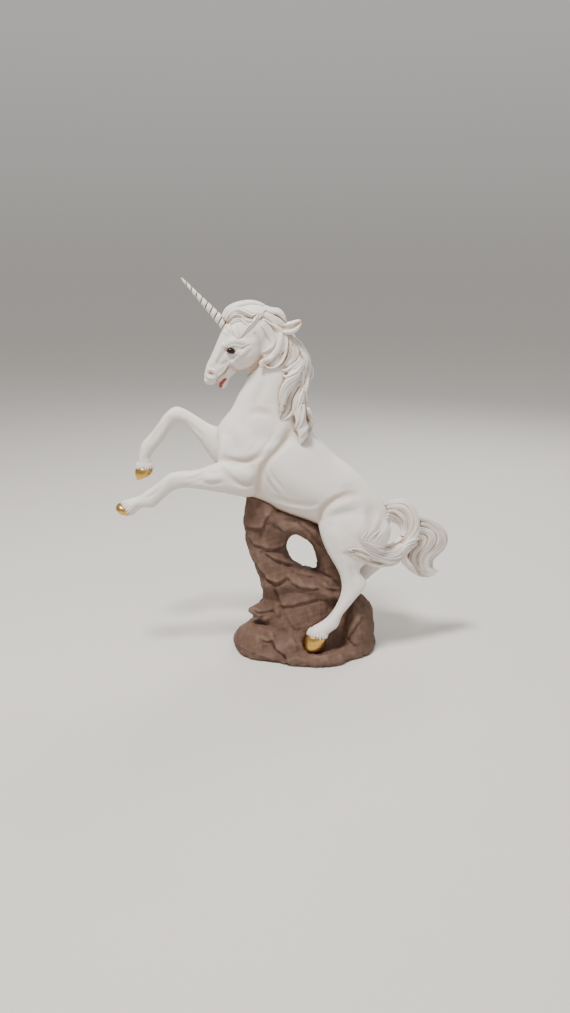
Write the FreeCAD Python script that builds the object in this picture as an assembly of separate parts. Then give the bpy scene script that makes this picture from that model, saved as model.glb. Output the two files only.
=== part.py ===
import FreeCAD, Part
import math
import os
from collections import namedtuple

# A ceramic figurine: a leaping unicorn on a rock with a see-through arch, millimetres.
# Frame: +Z up, the animal faces -X, its left side is towards -Y.
# Origin: middle of the flat underside of the rock.
# Every piece is drawn in a box that hangs on the piece that carries it.

# Rock
ROCK_LENGTH = 142.0
ROCK_DEPTH = 108.0
ROCK_HEIGHT = 154.0
PILLAR_DEPTH = 54.0
MOUND_HEIGHT = 9.5
MOUND_SETBACK = 3.0
SPUR_DEPTH = 30.0
VENT_DIAMETER = 3.0

# Walls of the hollow castings
CASTING_WALL = 5.0

# Body
TORSO_LENGTH = 166.0
TORSO_HEIGHT = 124.0
TORSO_WIDTH = 58.0
NECK_LENGTH = 94.0
NECK_HEIGHT = 136.0
NECK_WIDTH = 46.0

# Head
HEAD_LENGTH = 64.0
HEAD_HEIGHT = 68.0
HEAD_WIDTH = 33.0
JAW_LENGTH = 30.0
JAW_HEIGHT = 29.0
JAW_WIDTH = 18.0
TONGUE_LENGTH = 9.0
TONGUE_HEIGHT = 8.0
TONGUE_WIDTH = 9.0
EYE_LENGTH = 8.0
EYE_HEIGHT = 5.6
EYE_DEPTH = 7.0
EAR_LENGTH = 26.0
EAR_HEIGHT = 13.0
EAR_WIDTH = 8.0
HORN_LENGTH = 52.0
HORN_DIAMETER = 9.2
HORN_TIP_DIAMETER = 1.8
HORN_ROOT_DEPTH = 6.0

# Legs
FORELEG_REACH = 133.0
FORELEG_DROP = 65.0
FOLDED_LEG_REACH = 126.0
FOLDED_LEG_DROP = 59.0
FORELEG_WIDTH = 23.0
FORELEG_SPREAD = 9.0
HIND_LEG_DEPTH = 68.0
HIND_LEG_WIDTH = 30.0
HOOF_WIDTH = 19.0
HOOF_HEIGHT = 16.0
HOOF_LENGTH = 23.0

# Hair
MANE_DEPTH = 50.0
MANE_HEIGHT = 120.0
MANE_WIDTH = 33.0
FORELOCK_LENGTH = 46.0
FORELOCK_HEIGHT = 24.0
FORELOCK_WIDTH = 29.0
LOCK_WIDTH = 10.0
TAIL_UPPER_LENGTH = 40.0
TAIL_UPPER_HEIGHT = 60.0
TAIL_LOWER_LENGTH = 42.0
TAIL_LOWER_HEIGHT = 66.0
TAIL_WIDTH = 16.0
TAIL_SWING = 37.0
MANE_RELIEF = 2.2
TAIL_RELIEF = 1.5

# Cuts reach this far past the face that they open
OVERRUN = 2.0

# Points round one cross-section
RING_POINTS = 8

# Strands round each piece of hair, how deep they may part and how far they sway, as shares
CREST_STRANDS = 14
FORELOCK_STRANDS = 12
LOCK_STRANDS = 9
TAIL_UPPER_STRANDS = 10
TAIL_LOWER_STRANDS = 14
PARTING_SHARE = 0.32
SWAY_SHARE = 0.6

HORN_LEAN_DEGREES = 132.8
LEFT = -1
RIGHT = 1

# A box: its low corner or pinned corner, its run along each axis, and the full width of its sections
Box = namedtuple("Box", "x y z length depth height width")

# Where each piece is pinned: x, z in shares of the box that carries it, then of its own box
TORSO_SEAT_SHARES = ((0.2535, 0.987), (0.295, 0.387))
NECK_SEAT_SHARES = ((0.2265, 0.613), (0.4, 0.0))
HEAD_SEAT_SHARES = ((0.4617, 0.881), (0.85, 0.6))
JAW_SEAT_SHARES = ((0.672, 0.368), (1.0, 1.0))
TONGUE_SEAT_SHARES = ((0.0, 0.05), (0.0, 0.0))
EAR_SEAT_SHARES = ((0.564, 0.944), (0.0, 0.3))
FORELEG_SEAT_SHARES = ((0.265, 0.8145), (0.0, 0.0))
FOLDED_LEG_SEAT_SHARES = ((0.265, 0.911), (0.0, 0.0))
MANE_SEAT_SHARES = ((0.6915, 0.5), (0.5, 0.3))
FORELOCK_SEAT_SHARES = ((0.594, 0.835), (0.5, 0.2))
TAIL_UPPER_SEAT_SHARES = ((0.976, 0.282), (0.05, 0.85))
TAIL_LOWER_SEAT_SHARES = ((0.6825, 0.712), (0.15, 0.95))
# Sideways places from the middle plane, in shares of the width of the carrier
EAR_SIDE_SHARE = 0.2
FORELEG_SIDE_SHARE = 0.26
# Single spots: x, z, sideways on the head and torso; x, sideways on the rock; x, z on the rock for the vent
EYE_SPOT_SHARES = (0.4234, 0.485, 0.36)
HORN_SPOT_SHARES = (0.266, 0.853)
HIP_SPOT_SHARES = (0.813, 0.339, 0.207)
NEAR_HOOF_SHARES = (0.0775, -0.380)
FAR_HOOF_SHARES = (0.25, 0.287)
VENT_SPOT_SHARES = (0.7, 0.2)

# Rows of a profile, all in shares of the box: the upper point x, z, the lower point x, z,
# the sideways place of the middle, and the half width.
TORSO_SHARES = (
    (0.000, 0.798, 0.000, 0.702, 0.0, 0.103),
    (0.012, 0.879, 0.006, 0.645, 0.0, 0.241),
    (0.084, 0.952, 0.036, 0.540, 0.0, 0.379),
    (0.235, 1.000, 0.108, 0.452, 0.0, 0.457),
    (0.434, 0.952, 0.193, 0.387, 0.0, 0.491),
    (0.554, 0.875, 0.277, 0.327, 0.0, 0.500),
    (0.657, 0.734, 0.386, 0.254, 0.0, 0.500),
    (0.777, 0.609, 0.518, 0.194, 0.0, 0.491),
    (0.880, 0.472, 0.639, 0.137, 0.0, 0.491),
    (0.958, 0.355, 0.747, 0.056, 0.0, 0.448),
    (0.997, 0.242, 0.837, 0.000, 0.0, 0.328),
    (1.000, 0.161, 0.916, 0.032, 0.0, 0.138),
)
NECK_SHARES = (
    (0.979, 0.176, 0.277, 0.000, 0.0, 0.391),
    (0.968, 0.250, 0.043, 0.132, 0.0, 0.489),
    (0.926, 0.338, 0.005, 0.287, 0.0, 0.478),
    (0.883, 0.434, 0.138, 0.412, 0.0, 0.424),
    (0.840, 0.529, 0.213, 0.515, 0.0, 0.380),
    (0.830, 0.625, 0.282, 0.599, 0.0, 0.348),
    (0.809, 0.728, 0.324, 0.676, 0.0, 0.326),
    (0.755, 0.831, 0.362, 0.765, 0.0, 0.304),
    (0.670, 0.926, 0.404, 0.846, 0.0, 0.261),
    (0.564, 0.985, 0.436, 0.919, 0.0, 0.152),
)
HEAD_SHARES = (
    (0.938, 0.897, 1.000, 0.794, 0.0, 0.182),
    (0.781, 0.985, 0.977, 0.618, 0.0, 0.379),
    (0.578, 0.985, 0.906, 0.441, 0.0, 0.470),
    (0.398, 0.897, 0.812, 0.324, 0.0, 0.500),
    (0.273, 0.735, 0.703, 0.250, 0.0, 0.470),
    (0.198, 0.588, 0.578, 0.213, 0.0, 0.400),
    (0.141, 0.471, 0.469, 0.184, 0.0, 0.339),
    (0.094, 0.375, 0.375, 0.147, 0.0, 0.303),
    (0.047, 0.287, 0.273, 0.096, 0.0, 0.291),
    (0.016, 0.191, 0.180, 0.044, 0.0, 0.273),
    (0.003, 0.110, 0.102, 0.012, 0.0, 0.230),
    (0.009, 0.051, 0.055, 0.015, 0.0, 0.106),
)
JAW_SHARES = (
    (0.733, 0.983, 1.000, 0.759, 0.0, 0.250),
    (0.467, 0.776, 0.683, 0.603, 0.0, 0.330),
    (0.283, 0.603, 0.433, 0.431, 0.0, 0.350),
    (0.133, 0.397, 0.283, 0.190, 0.0, 0.333),
    (0.033, 0.224, 0.183, 0.034, 0.0, 0.267),
    (0.040, 0.121, 0.117, 0.034, 0.0, 0.122),
)
TONGUE_SHARES = (
    (0.90, 1.00, 1.10, 0.50, 0.0, 0.36),
    (0.45, 0.80, 0.60, 0.25, 0.0, 0.40),
    (0.12, 0.42, 0.28, 0.02, 0.0, 0.34),
    (0.06, 0.16, 0.14, 0.04, 0.0, 0.16),
)
EAR_SHARES = (
    (0.00, 0.70, 0.08, 0.02, 0.0, 0.30),
    (0.31, 0.86, 0.42, 0.09, 0.4, 0.46),
    (0.62, 0.98, 0.70, 0.28, 0.7, 0.44),
    (0.85, 1.00, 0.90, 0.60, 0.9, 0.28),
    (0.98, 0.99, 0.97, 0.91, 1.0, 0.08),
)
FORELEG_SHARES = (
    (0.030, -0.077, 0.030, -0.631, 0.00, 0.391),
    (0.150, -0.185, 0.090, -0.738, 0.33, 0.500),
    (0.271, -0.215, 0.180, -0.715, 0.61, 0.457),
    (0.353, -0.246, 0.271, -0.669, 0.78, 0.413),
    (0.421, -0.295, 0.368, -0.631, 0.89, 0.370),
    (0.511, -0.334, 0.481, -0.592, 1.00, 0.326),
    (0.605, -0.345, 0.571, -0.585, 1.00, 0.313),
    (0.669, -0.392, 0.628, -0.623, 1.00, 0.283),
    (0.737, -0.508, 0.684, -0.708, 1.00, 0.243),
    (0.797, -0.600, 0.735, -0.808, 1.00, 0.226),
    (0.842, -0.662, 0.786, -0.880, 1.00, 0.243),
    (0.887, -0.712, 0.846, -0.874, 1.00, 0.243),
    (0.940, -0.742, 0.887, -0.929, 1.00, 0.278),
    (1.000, -0.808, 0.925, -0.985, 1.00, 0.304),
)
FOLDED_LEG_SHARES = (
    (0.032, -0.186, 0.048, -0.797, 0.00, 0.391),
    (0.206, -0.085, 0.206, -0.831, 0.33, 0.500),
    (0.333, -0.017, 0.349, -0.695, 0.61, 0.457),
    (0.405, 0.014, 0.409, -0.559, 0.78, 0.413),
    (0.484, 0.107, 0.452, -0.407, 0.89, 0.383),
    (0.563, 0.217, 0.516, -0.220, 1.00, 0.348),
    (0.627, 0.285, 0.590, -0.008, 1.00, 0.317),
    (0.690, 0.305, 0.645, 0.063, 1.00, 0.304),
    (0.746, 0.229, 0.683, 0.039, 1.00, 0.278),
    (0.817, 0.037, 0.746, -0.139, 1.00, 0.243),
    (0.902, -0.180, 0.811, -0.319, 1.00, 0.230),
    (0.956, -0.317, 0.865, -0.454, 1.00, 0.243),
    (0.972, -0.458, 0.889, -0.549, 1.00, 0.230),
    (0.980, -0.568, 0.885, -0.627, 1.00, 0.252),
    (1.004, -0.712, 0.873, -0.720, 1.00, 0.296),
)
# Hind legs run from the hoof up to the hip: progress along the leg, bend to the rear and the half
# chord x, z in shares of the leg's depth, the sideways place, and the half width.
HIND_LEG_SHARES = (
    (1.000, 0.000, 1.000, -0.250, 0.029, 0.333),
    (0.936, 0.008, 0.828, -0.441, 0.121, 0.467),
    (0.838, 0.022, 0.724, -0.500, 0.125, 0.500),
    (0.718, 0.045, 0.655, -0.430, 0.132, 0.467),
    (0.624, 0.059, 0.586, -0.309, 0.085, 0.400),
    (0.541, 0.093, 0.483, -0.184, 0.040, 0.300),
    (0.459, 0.208, 0.397, -0.162, 0.004, 0.253),
    (0.390, 0.284, 0.328, -0.175, -0.022, 0.233),
    (0.309, 0.267, 0.259, -0.140, -0.026, 0.213),
    (0.214, 0.209, 0.190, -0.107, -0.018, 0.187),
    (0.137, 0.147, 0.121, -0.110, -0.015, 0.187),
    (0.078, 0.098, 0.069, -0.143, 0.020, 0.200),
    (0.037, 0.018, 0.034, -0.143, 0.022, 0.220),
    (0.000, 0.000, 0.000, -0.140, 0.011, 0.253),
)
FAR_HIND_LEG_SHARES = (
    (1.000, 0.000, 1.000, -0.250, 0.029, 0.333),
    (0.944, 0.005, 0.737, -0.419, 0.107, 0.467),
    (0.842, 0.021, 0.579, -0.471, 0.103, 0.500),
    (0.726, 0.055, 0.474, -0.434, 0.103, 0.467),
    (0.635, 0.098, 0.421, -0.338, 0.074, 0.400),
    (0.560, 0.159, 0.368, -0.221, 0.029, 0.300),
    (0.477, 0.296, 0.316, -0.191, 0.000, 0.253),
    (0.398, 0.380, 0.263, -0.199, -0.022, 0.233),
    (0.311, 0.322, 0.211, -0.158, -0.029, 0.213),
    (0.222, 0.221, 0.158, -0.118, -0.026, 0.187),
    (0.141, 0.148, 0.105, -0.114, -0.022, 0.187),
    (0.079, 0.092, 0.053, -0.132, 0.015, 0.200),
    (0.037, 0.028, 0.000, -0.132, 0.015, 0.220),
    (0.000, 0.000, 0.000, -0.140, 0.007, 0.253),
)
# Hooves: shares of hoof length and height, from the middle of the coronet
STANDING_HOOF_SHARES = (
    (-0.340, 0.14, 0.300, 0.10, 0.0, 0.330),
    (-0.440, 0.00, 0.350, -0.08, 0.0, 0.430),
    (-0.540, -0.36, 0.345, -0.34, 0.0, 0.480),
    (-0.590, -0.68, 0.270, -0.68, 0.0, 0.480),
    (-0.520, -0.90, 0.150, -0.90, 0.0, 0.410),
    (-0.420, -1.00, 0.020, -1.00, 0.0, 0.300),
)
FOLDED_HOOF_SHARES = (
    (-0.290, 0.11, 0.270, 0.11, 0.0, 0.330),
    (-0.420, -0.28, 0.350, -0.22, 0.0, 0.450),
    (-0.337, -0.78, 0.272, -0.39, 0.0, 0.400),
)
REACHING_HOOF_SHARES = (
    (-0.087, 0.27, 0.240, -0.20, 0.0, 0.330),
    (-0.330, 0.33, 0.110, -0.39, 0.0, 0.430),
    (-0.461, 0.05, -0.130, -0.37, 0.0, 0.360),
)
MANE_SHARES = (
    (0.160, 0.992, 0.020, 0.875, 0.0, 0.258),
    (0.340, 0.950, 0.120, 0.775, 0.0, 0.364),
    (0.520, 0.858, 0.220, 0.708, 0.0, 0.409),
    (0.700, 0.750, 0.320, 0.625, 0.0, 0.439),
    (0.820, 0.650, 0.420, 0.542, 0.0, 0.470),
    (0.940, 0.550, 0.480, 0.467, 0.0, 0.494),
    (0.964, 0.458, 0.520, 0.408, 0.0, 0.500),
    (0.890, 0.375, 0.560, 0.342, 0.0, 0.491),
    (0.860, 0.292, 0.600, 0.283, 0.0, 0.470),
    (0.900, 0.200, 0.680, 0.217, 0.0, 0.409),
    (0.970, 0.100, 0.760, 0.133, 0.0, 0.318),
    (0.950, 0.008, 0.840, 0.042, 0.0, 0.182),
)
FORELOCK_SHARES = (
    (0.000, 0.333, 0.076, 0.104, 0.0, 0.155),
    (0.120, 0.729, 0.283, 0.042, 0.0, 0.345),
    (0.359, 0.950, 0.500, 0.042, 0.0, 0.455),
    (0.630, 1.000, 0.707, 0.125, 0.0, 0.500),
    (0.826, 0.938, 0.880, 0.125, 0.0, 0.466),
    (0.978, 0.792, 1.000, 0.125, 0.0, 0.310),
)
# Locks that lie on one side of the neck, in shares of the mane, their own width apart
JOWL_LOCK_SHARES = (
    (0.440, 0.850, 0.340, 0.783, -1.10, 0.30),
    (0.500, 0.750, 0.280, 0.733, -1.30, 0.42),
    (0.440, 0.658, 0.200, 0.667, -1.40, 0.46),
    (0.320, 0.592, 0.080, 0.625, -1.55, 0.44),
    (0.160, 0.542, -0.020, 0.600, -1.65, 0.34),
    (0.060, 0.512, -0.030, 0.542, -1.65, 0.22),
)
NECK_LOCK_SHARES = (
    (0.860, 0.575, 0.640, 0.600, -1.20, 0.35),
    (0.800, 0.483, 0.500, 0.508, -1.50, 0.46),
    (0.680, 0.392, 0.380, 0.417, -1.65, 0.48),
    (0.560, 0.300, 0.320, 0.317, -1.70, 0.44),
    (0.480, 0.217, 0.310, 0.217, -1.75, 0.36),
    (0.410, 0.142, 0.340, 0.146, -1.80, 0.16),
)
END_LOCK_SHARES = (
    (0.960, 0.433, 0.720, 0.450, -1.00, 0.40),
    (0.900, 0.333, 0.640, 0.350, -1.40, 0.50),
    (0.880, 0.233, 0.600, 0.233, -1.65, 0.50),
    (0.920, 0.133, 0.620, 0.125, -1.90, 0.46),
    (0.940, 0.042, 0.680, 0.025, -2.10, 0.38),
    (0.800, -0.050, 0.700, -0.038, -2.20, 0.16),
)
TAIL_UPPER_SHARES = (
    (-0.250, 0.930, -0.150, 0.720, 0.000, 0.220),
    (0.000, 0.967, 0.075, 0.750, 0.000, 0.281),
    (0.250, 0.997, 0.200, 0.733, 0.000, 0.344),
    (0.475, 1.010, 0.315, 0.667, -0.027, 0.375),
    (0.725, 0.933, 0.457, 0.592, -0.054, 0.406),
    (0.887, 0.733, 0.512, 0.500, -0.108, 0.406),
    (0.900, 0.500, 0.482, 0.400, -0.189, 0.406),
    (0.750, 0.267, 0.362, 0.342, -0.284, 0.394),
    (0.512, 0.083, 0.188, 0.333, -0.405, 0.375),
    (0.225, 0.008, -0.025, 0.325, -0.554, 0.362),
    (-0.075, 0.050, -0.263, 0.308, -0.730, 0.313),
    (-0.375, 0.158, -0.475, 0.333, -0.878, 0.237),
    (-0.650, 0.258, -0.700, 0.375, -0.959, 0.163),
    (-0.950, 0.367, -0.975, 0.400, -1.000, 0.062),
)
TAIL_LOWER_SHARES = (
    (0.167, 1.000, 0.071, 0.788, 0.06, 0.313),
    (0.429, 0.950, 0.143, 0.667, 0.12, 0.438),
    (0.690, 0.879, 0.119, 0.545, 0.19, 0.500),
    (0.905, 0.758, 0.071, 0.439, 0.19, 0.512),
    (0.995, 0.591, 0.000, 0.326, 0.19, 0.500),
    (0.881, 0.447, 0.019, 0.250, 0.12, 0.462),
    (0.714, 0.348, 0.102, 0.174, 0.06, 0.425),
    (0.657, 0.258, 0.250, 0.080, 0.00, 0.375),
    (0.681, 0.189, 0.440, 0.021, -0.06, 0.313),
    (0.762, 0.148, 0.631, 0.015, -0.12, 0.237),
    (0.867, 0.126, 0.786, 0.061, -0.12, 0.113),
)
# Rock ribs and arch, in shares of the rock
PILLAR_FOOT_SHARES = (
    (0.204, 0.416, 0.739, 0.377, -0.04, 0.463),
    (0.201, 0.312, 0.768, 0.299, -0.04, 0.519),
    (0.197, 0.208, 0.796, 0.208, -0.04, 0.593),
    (0.176, 0.117, 0.824, 0.117, -0.04, 0.667),
    (0.148, 0.050, 0.852, 0.050, -0.04, 0.704),
)
SLAB_SHARES = (
    (0.190, 0.494, 0.190, 0.403, -0.04, 0.259),
    (0.246, 0.526, 0.232, 0.377, -0.04, 0.407),
    (0.373, 0.552, 0.373, 0.370, -0.04, 0.463),
    (0.514, 0.513, 0.514, 0.357, -0.04, 0.481),
    (0.641, 0.468, 0.641, 0.338, -0.02, 0.481),
    (0.739, 0.416, 0.739, 0.312, 0.00, 0.444),
    (0.796, 0.390, 0.796, 0.299, 0.00, 0.259),
)
PILLAR_SHARES = (
    (0.099, 1.013, 0.289, 0.987, 0.00, 0.259),
    (0.092, 0.961, 0.359, 0.909, 0.00, 0.352),
    (0.081, 0.883, 0.387, 0.818, 0.00, 0.389),
    (0.077, 0.805, 0.401, 0.740, 0.00, 0.389),
    (0.090, 0.705, 0.370, 0.672, 0.00, 0.376),
    (0.116, 0.610, 0.401, 0.584, -0.02, 0.407),
    (0.148, 0.532, 0.444, 0.532, -0.02, 0.426),
    (0.183, 0.468, 0.500, 0.481, -0.04, 0.444),
)
ARCH_SHARES = (
    (0.176, 0.987, 0.218, 0.727, -0.02, 0.315),
    (0.275, 0.968, 0.317, 0.701, -0.02, 0.370),
    (0.387, 0.922, 0.401, 0.747, -0.02, 0.389),
    (0.486, 0.890, 0.472, 0.737, -0.02, 0.389),
    (0.585, 0.864, 0.528, 0.688, 0.00, 0.370),
    (0.669, 0.825, 0.556, 0.636, 0.02, 0.333),
    (0.732, 0.753, 0.577, 0.571, 0.04, 0.296),
    (0.775, 0.662, 0.577, 0.494, 0.06, 0.296),
    (0.803, 0.558, 0.585, 0.429, 0.07, 0.315),
    (0.824, 0.455, 0.592, 0.364, 0.07, 0.333),
)
SPUR_SHARES = (
    (0.102, 0.266, 0.109, 0.240, -0.40, 0.067),
    (0.134, 0.282, 0.148, 0.221, -0.40, 0.267),
    (0.190, 0.289, 0.204, 0.188, -0.35, 0.433),
    (0.260, 0.273, 0.275, 0.143, -0.25, 0.500),
)
# Ground outline of the rock, in shares of its length and depth from the middle
MOUND_OUTLINE_SHARES = (
    (-0.500, 0.194), (-0.512, 0.016), (-0.485, -0.157), (-0.423, -0.319), (-0.310, -0.398),
    (-0.162, -0.454), (-0.092, -0.500), (0.085, -0.528), (0.232, -0.481), (0.328, -0.370),
    (0.444, -0.269), (0.500, -0.037), (0.480, 0.160), (0.390, 0.330), (0.240, 0.430),
    (0.060, 0.472), (-0.140, 0.463), (-0.324, 0.389), (-0.437, 0.306),
)
# Height and spread of the mound's and boulders' outlines from the ground up
MOUND_LEVEL_SHARES = ((0.00, 0.985), (0.35, 1.000), (0.75, 0.985), (1.00, 0.940))
BOULDER_LEVEL_SHARES = ((0.00, 1.00), (0.35, 0.98), (0.70, 0.84), (0.92, 0.56), (1.00, 0.24))
# Boulders: middle x, y, half length and half depth in shares of the rock's length and depth, the top in
# shares of its height, and the radius at eight directions
BOULDER_SHARES = {
    "rock_front_left_boulder": (-0.300, -0.130, 0.190, 0.260, 0.170,
                                (1.00, 0.94, 1.04, 0.96, 1.02, 0.92, 1.05, 0.98)),
    "rock_front_ridge": (-0.100, -0.330, 0.110, 0.170, 0.150,
                         (0.96, 1.04, 0.95, 1.05, 0.98, 1.03, 0.92, 1.02)),
    "rock_right_boulder": (0.350, -0.070, 0.135, 0.280, 0.350,
                           (1.02, 0.93, 1.05, 0.96, 1.00, 0.94, 1.04, 0.95)),
    "rock_back_boulder": (-0.140, 0.270, 0.260, 0.180, 0.250,
                          (0.95, 1.03, 0.97, 1.05, 0.94, 1.02, 0.98, 1.04)),
}


def seat(carrier, seat_shares, length, depth, height, width, y=0.0):
    """A box of its own size, pinned to its carrier at a spot of each, y off the middle plane."""
    carrier_share, own_share = seat_shares
    x = carrier.x + carrier.length * carrier_share[0] - length * own_share[0]
    z = carrier.z + carrier.height * carrier_share[1] - height * own_share[1]
    return Box(x, y, z, length, depth, height, width)


def spot(box, x_share, z_share, y_share=0.0):
    x = box.x + box.length * x_share
    y = box.y + box.depth * y_share
    z = box.z + box.height * z_share
    return FreeCAD.Vector(x, y, z)


def skin(rings):
    """A closed solid through rings of points: one smooth surface round and along, flat caps at the ends."""
    loops = []
    for points in rings:
        loop = Part.BSplineCurve()
        loop.interpolate(Points=points, PeriodicFlag=True, Parameters=list(range(len(points) + 1)))
        loops.append(loop)
    middles = [sum(points, FreeCAD.Vector()) / len(points) for points in rings]
    stations = [0.0]
    for before, after in zip(middles, middles[1:]):
        stations.append(stations[-1] + (after - before).Length)
    rows_of_poles = []
    for run in zip(*[loop.getPoles() for loop in loops]):
        line = Part.BSplineCurve()
        line.interpolate(Points=list(run), Parameters=stations)
        rows_of_poles.append(line.getPoles())
    surface = Part.BSplineSurface()
    loop = loops[0]
    surface.buildFromPolesMultsKnots(
        rows_of_poles, loop.getMultiplicities(), line.getMultiplicities(), loop.getKnots(), line.getKnots(),
        True, False, loop.Degree, line.Degree)
    faces = [surface.toShape()]
    for station in (stations[0], stations[-1]):
        faces.append(Part.Face(Part.Wire([surface.vIso(station).toShape()])))
    shell = Part.makeShell(faces)
    shell.sewShape()
    solid = Part.makeSolid(shell)
    return solid if solid.Volume > 0 else solid.reversed()


def oval_ring(middle, half_chord, half_width, inset=0.0, seam_turn=0.0, strands=0, relief=0.0):
    """Points round an oval cross-section, drawn in by the inset, its seam turned by a share of one step.
    With strands, every second point lies in the parting between two of them."""
    direction = FreeCAD.Vector(half_chord).normalize()
    count = 2 * strands or RING_POINTS
    parting = min(relief, PARTING_SHARE * min(half_chord.Length, half_width))
    points = []
    for step in range(count):
        angle = 2 * math.pi * (step + seam_turn) / count
        drawn_in = inset + parting * (step % 2)
        point = middle + direction * ((half_chord.Length - drawn_in) * math.cos(angle))
        points.append(point + FreeCAD.Vector(0, (half_width - drawn_in) * math.sin(angle), 0))
    return points


def ring(box, row_shares, inset, seam_turn, strands=0, relief=0.0):
    """The cross-section of one row of a profile."""
    top_x, top_z, bottom_x, bottom_z, middle_y, half_width_share = row_shares
    top = spot(box, top_x, top_z, middle_y)
    bottom = spot(box, bottom_x, bottom_z, middle_y)
    half_width = box.width * half_width_share
    return oval_ring((top + bottom) / 2, (top - bottom) / 2, half_width, inset, seam_turn, strands, relief)


def limb(box, rows, inset=0.0, seam_turn=0.0):
    """A rounded solid through the rows of a profile. Neighbours turn their seams apart to cut cleanly."""
    return skin([ring(box, row, inset, seam_turn) for row in rows])


def tress(box, rows, strands, relief, seam_turn=0.0):
    """A limb of hair, combed into strands that run along it and sway from side to side."""
    rings = []
    for index, row in enumerate(rows):
        sway = SWAY_SHARE * math.sin(index)
        rings.append(ring(box, row, 0, seam_turn + sway, strands, relief))
    return skin(rings)


def main_solid(shape):
    return max(shape.Solids, key=lambda solid: solid.Volume)


def seated(piece, *carriers):
    """The piece as it lies against its carriers, face to face."""
    near = [carrier for carrier in carriers if carrier.BoundBox.intersect(piece.BoundBox)]
    return main_solid(piece.cut(near)) if near else piece


def stone(centre, half_length, half_depth, low, high, outline_shares, level_shares):
    """A rounded stone: one outline, repeated at rising levels with a shrinking spread."""
    sections = []
    for level_share, spread_share in level_shares:
        z = low + (high - low) * level_share
        points = []
        for x_share, y_share in outline_shares:
            x = centre.x + half_length * x_share * spread_share
            y = centre.y + half_depth * y_share * spread_share
            points.append(FreeCAD.Vector(x, y, z))
        sections.append(points)
    return skin(sections)


def round_outline(radius_shares):
    count = len(radius_shares)
    outline_shares = []
    for step, radius_share in enumerate(radius_shares):
        angle = 2 * math.pi * step / count
        outline_shares.append((radius_share * math.cos(angle), radius_share * math.sin(angle)))
    return outline_shares


def hind_leg_ring(low, high, row_shares):
    progress, bend_share, side_share, chord_x_share, chord_z_share, half_width_share = row_shares
    x = low.x + (high.x - low.x) * progress + HIND_LEG_DEPTH * bend_share
    y = low.y + (high.y - low.y) * side_share
    z = low.z + (high.z - low.z) * progress
    half_chord = FreeCAD.Vector(HIND_LEG_DEPTH * chord_x_share, 0, HIND_LEG_DEPTH * chord_z_share)
    return oval_ring(FreeCAD.Vector(x, y, z), half_chord, HIND_LEG_WIDTH * half_width_share)


def hind_leg(low, high, rows):
    """A hind leg from the top of its hoof to the hip, so it reaches both whatever their sizes."""
    return skin([hind_leg_ring(low, high, row) for row in rows])


def rock_box():
    return Box(-ROCK_LENGTH / 2, 0, 0, ROCK_LENGTH, PILLAR_DEPTH, ROCK_HEIGHT, PILLAR_DEPTH)


def torso_box(rock):
    return seat(rock, TORSO_SEAT_SHARES, TORSO_LENGTH, TORSO_WIDTH, TORSO_HEIGHT, TORSO_WIDTH)


def neck_box(torso):
    return seat(torso, NECK_SEAT_SHARES, NECK_LENGTH, NECK_WIDTH, NECK_HEIGHT, NECK_WIDTH)


def head_box(neck):
    return seat(neck, HEAD_SEAT_SHARES, HEAD_LENGTH, HEAD_WIDTH, HEAD_HEIGHT, HEAD_WIDTH)


def jaw_box(head):
    return seat(head, JAW_SEAT_SHARES, JAW_LENGTH, JAW_WIDTH, JAW_HEIGHT, JAW_WIDTH)


def tongue_box(jaw):
    return seat(jaw, TONGUE_SEAT_SHARES, TONGUE_LENGTH, TONGUE_WIDTH, TONGUE_HEIGHT, TONGUE_WIDTH)


def ear_box(neck, side):
    y = side * NECK_WIDTH * EAR_SIDE_SHARE
    return seat(neck, EAR_SEAT_SHARES, EAR_LENGTH, side * EAR_WIDTH / 2, EAR_HEIGHT, EAR_WIDTH, y)


def foreleg_box(torso):
    y = LEFT * TORSO_WIDTH * FORELEG_SIDE_SHARE
    size = (-FORELEG_REACH, LEFT * FORELEG_SPREAD, FORELEG_DROP, FORELEG_WIDTH)
    return seat(torso, FORELEG_SEAT_SHARES, *size, y)


def folded_leg_box(torso):
    y = RIGHT * TORSO_WIDTH * FORELEG_SIDE_SHARE
    size = (-FOLDED_LEG_REACH, RIGHT * FORELEG_SPREAD, FOLDED_LEG_DROP, FORELEG_WIDTH)
    return seat(torso, FOLDED_LEG_SEAT_SHARES, *size, y)


def hip(torso, side):
    x_share, z_share, side_share = HIP_SPOT_SHARES
    return spot(torso, x_share, z_share, side * side_share)


def hoof_top(hoof_shares):
    x_share, y_share = hoof_shares
    return FreeCAD.Vector(ROCK_LENGTH * x_share, ROCK_DEPTH * y_share, MOUND_HEIGHT + HOOF_HEIGHT)


def mane_box(neck, side):
    return seat(neck, MANE_SEAT_SHARES, MANE_DEPTH, -side * LOCK_WIDTH, MANE_HEIGHT, LOCK_WIDTH)


def mane_crest_box(neck):
    return seat(neck, MANE_SEAT_SHARES, MANE_DEPTH, MANE_WIDTH, MANE_HEIGHT, MANE_WIDTH)


def forelock_box(head):
    size = (FORELOCK_LENGTH, FORELOCK_WIDTH, FORELOCK_HEIGHT, FORELOCK_WIDTH)
    return seat(head, FORELOCK_SEAT_SHARES, *size)


def tail_upper_box(torso):
    size = (TAIL_UPPER_LENGTH, TAIL_SWING, TAIL_UPPER_HEIGHT, TAIL_WIDTH)
    return seat(torso, TAIL_UPPER_SEAT_SHARES, *size)


def tail_lower_box(tail_upper):
    size = (TAIL_LOWER_LENGTH, TAIL_WIDTH, TAIL_LOWER_HEIGHT, TAIL_WIDTH)
    return seat(tail_upper, TAIL_LOWER_SEAT_SHARES, *size)


def hoof(rows, coronet):
    box = Box(coronet.x, coronet.y, coronet.z, HOOF_LENGTH, HOOF_WIDTH, HOOF_HEIGHT, HOOF_WIDTH)
    return limb(box, rows)


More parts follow.
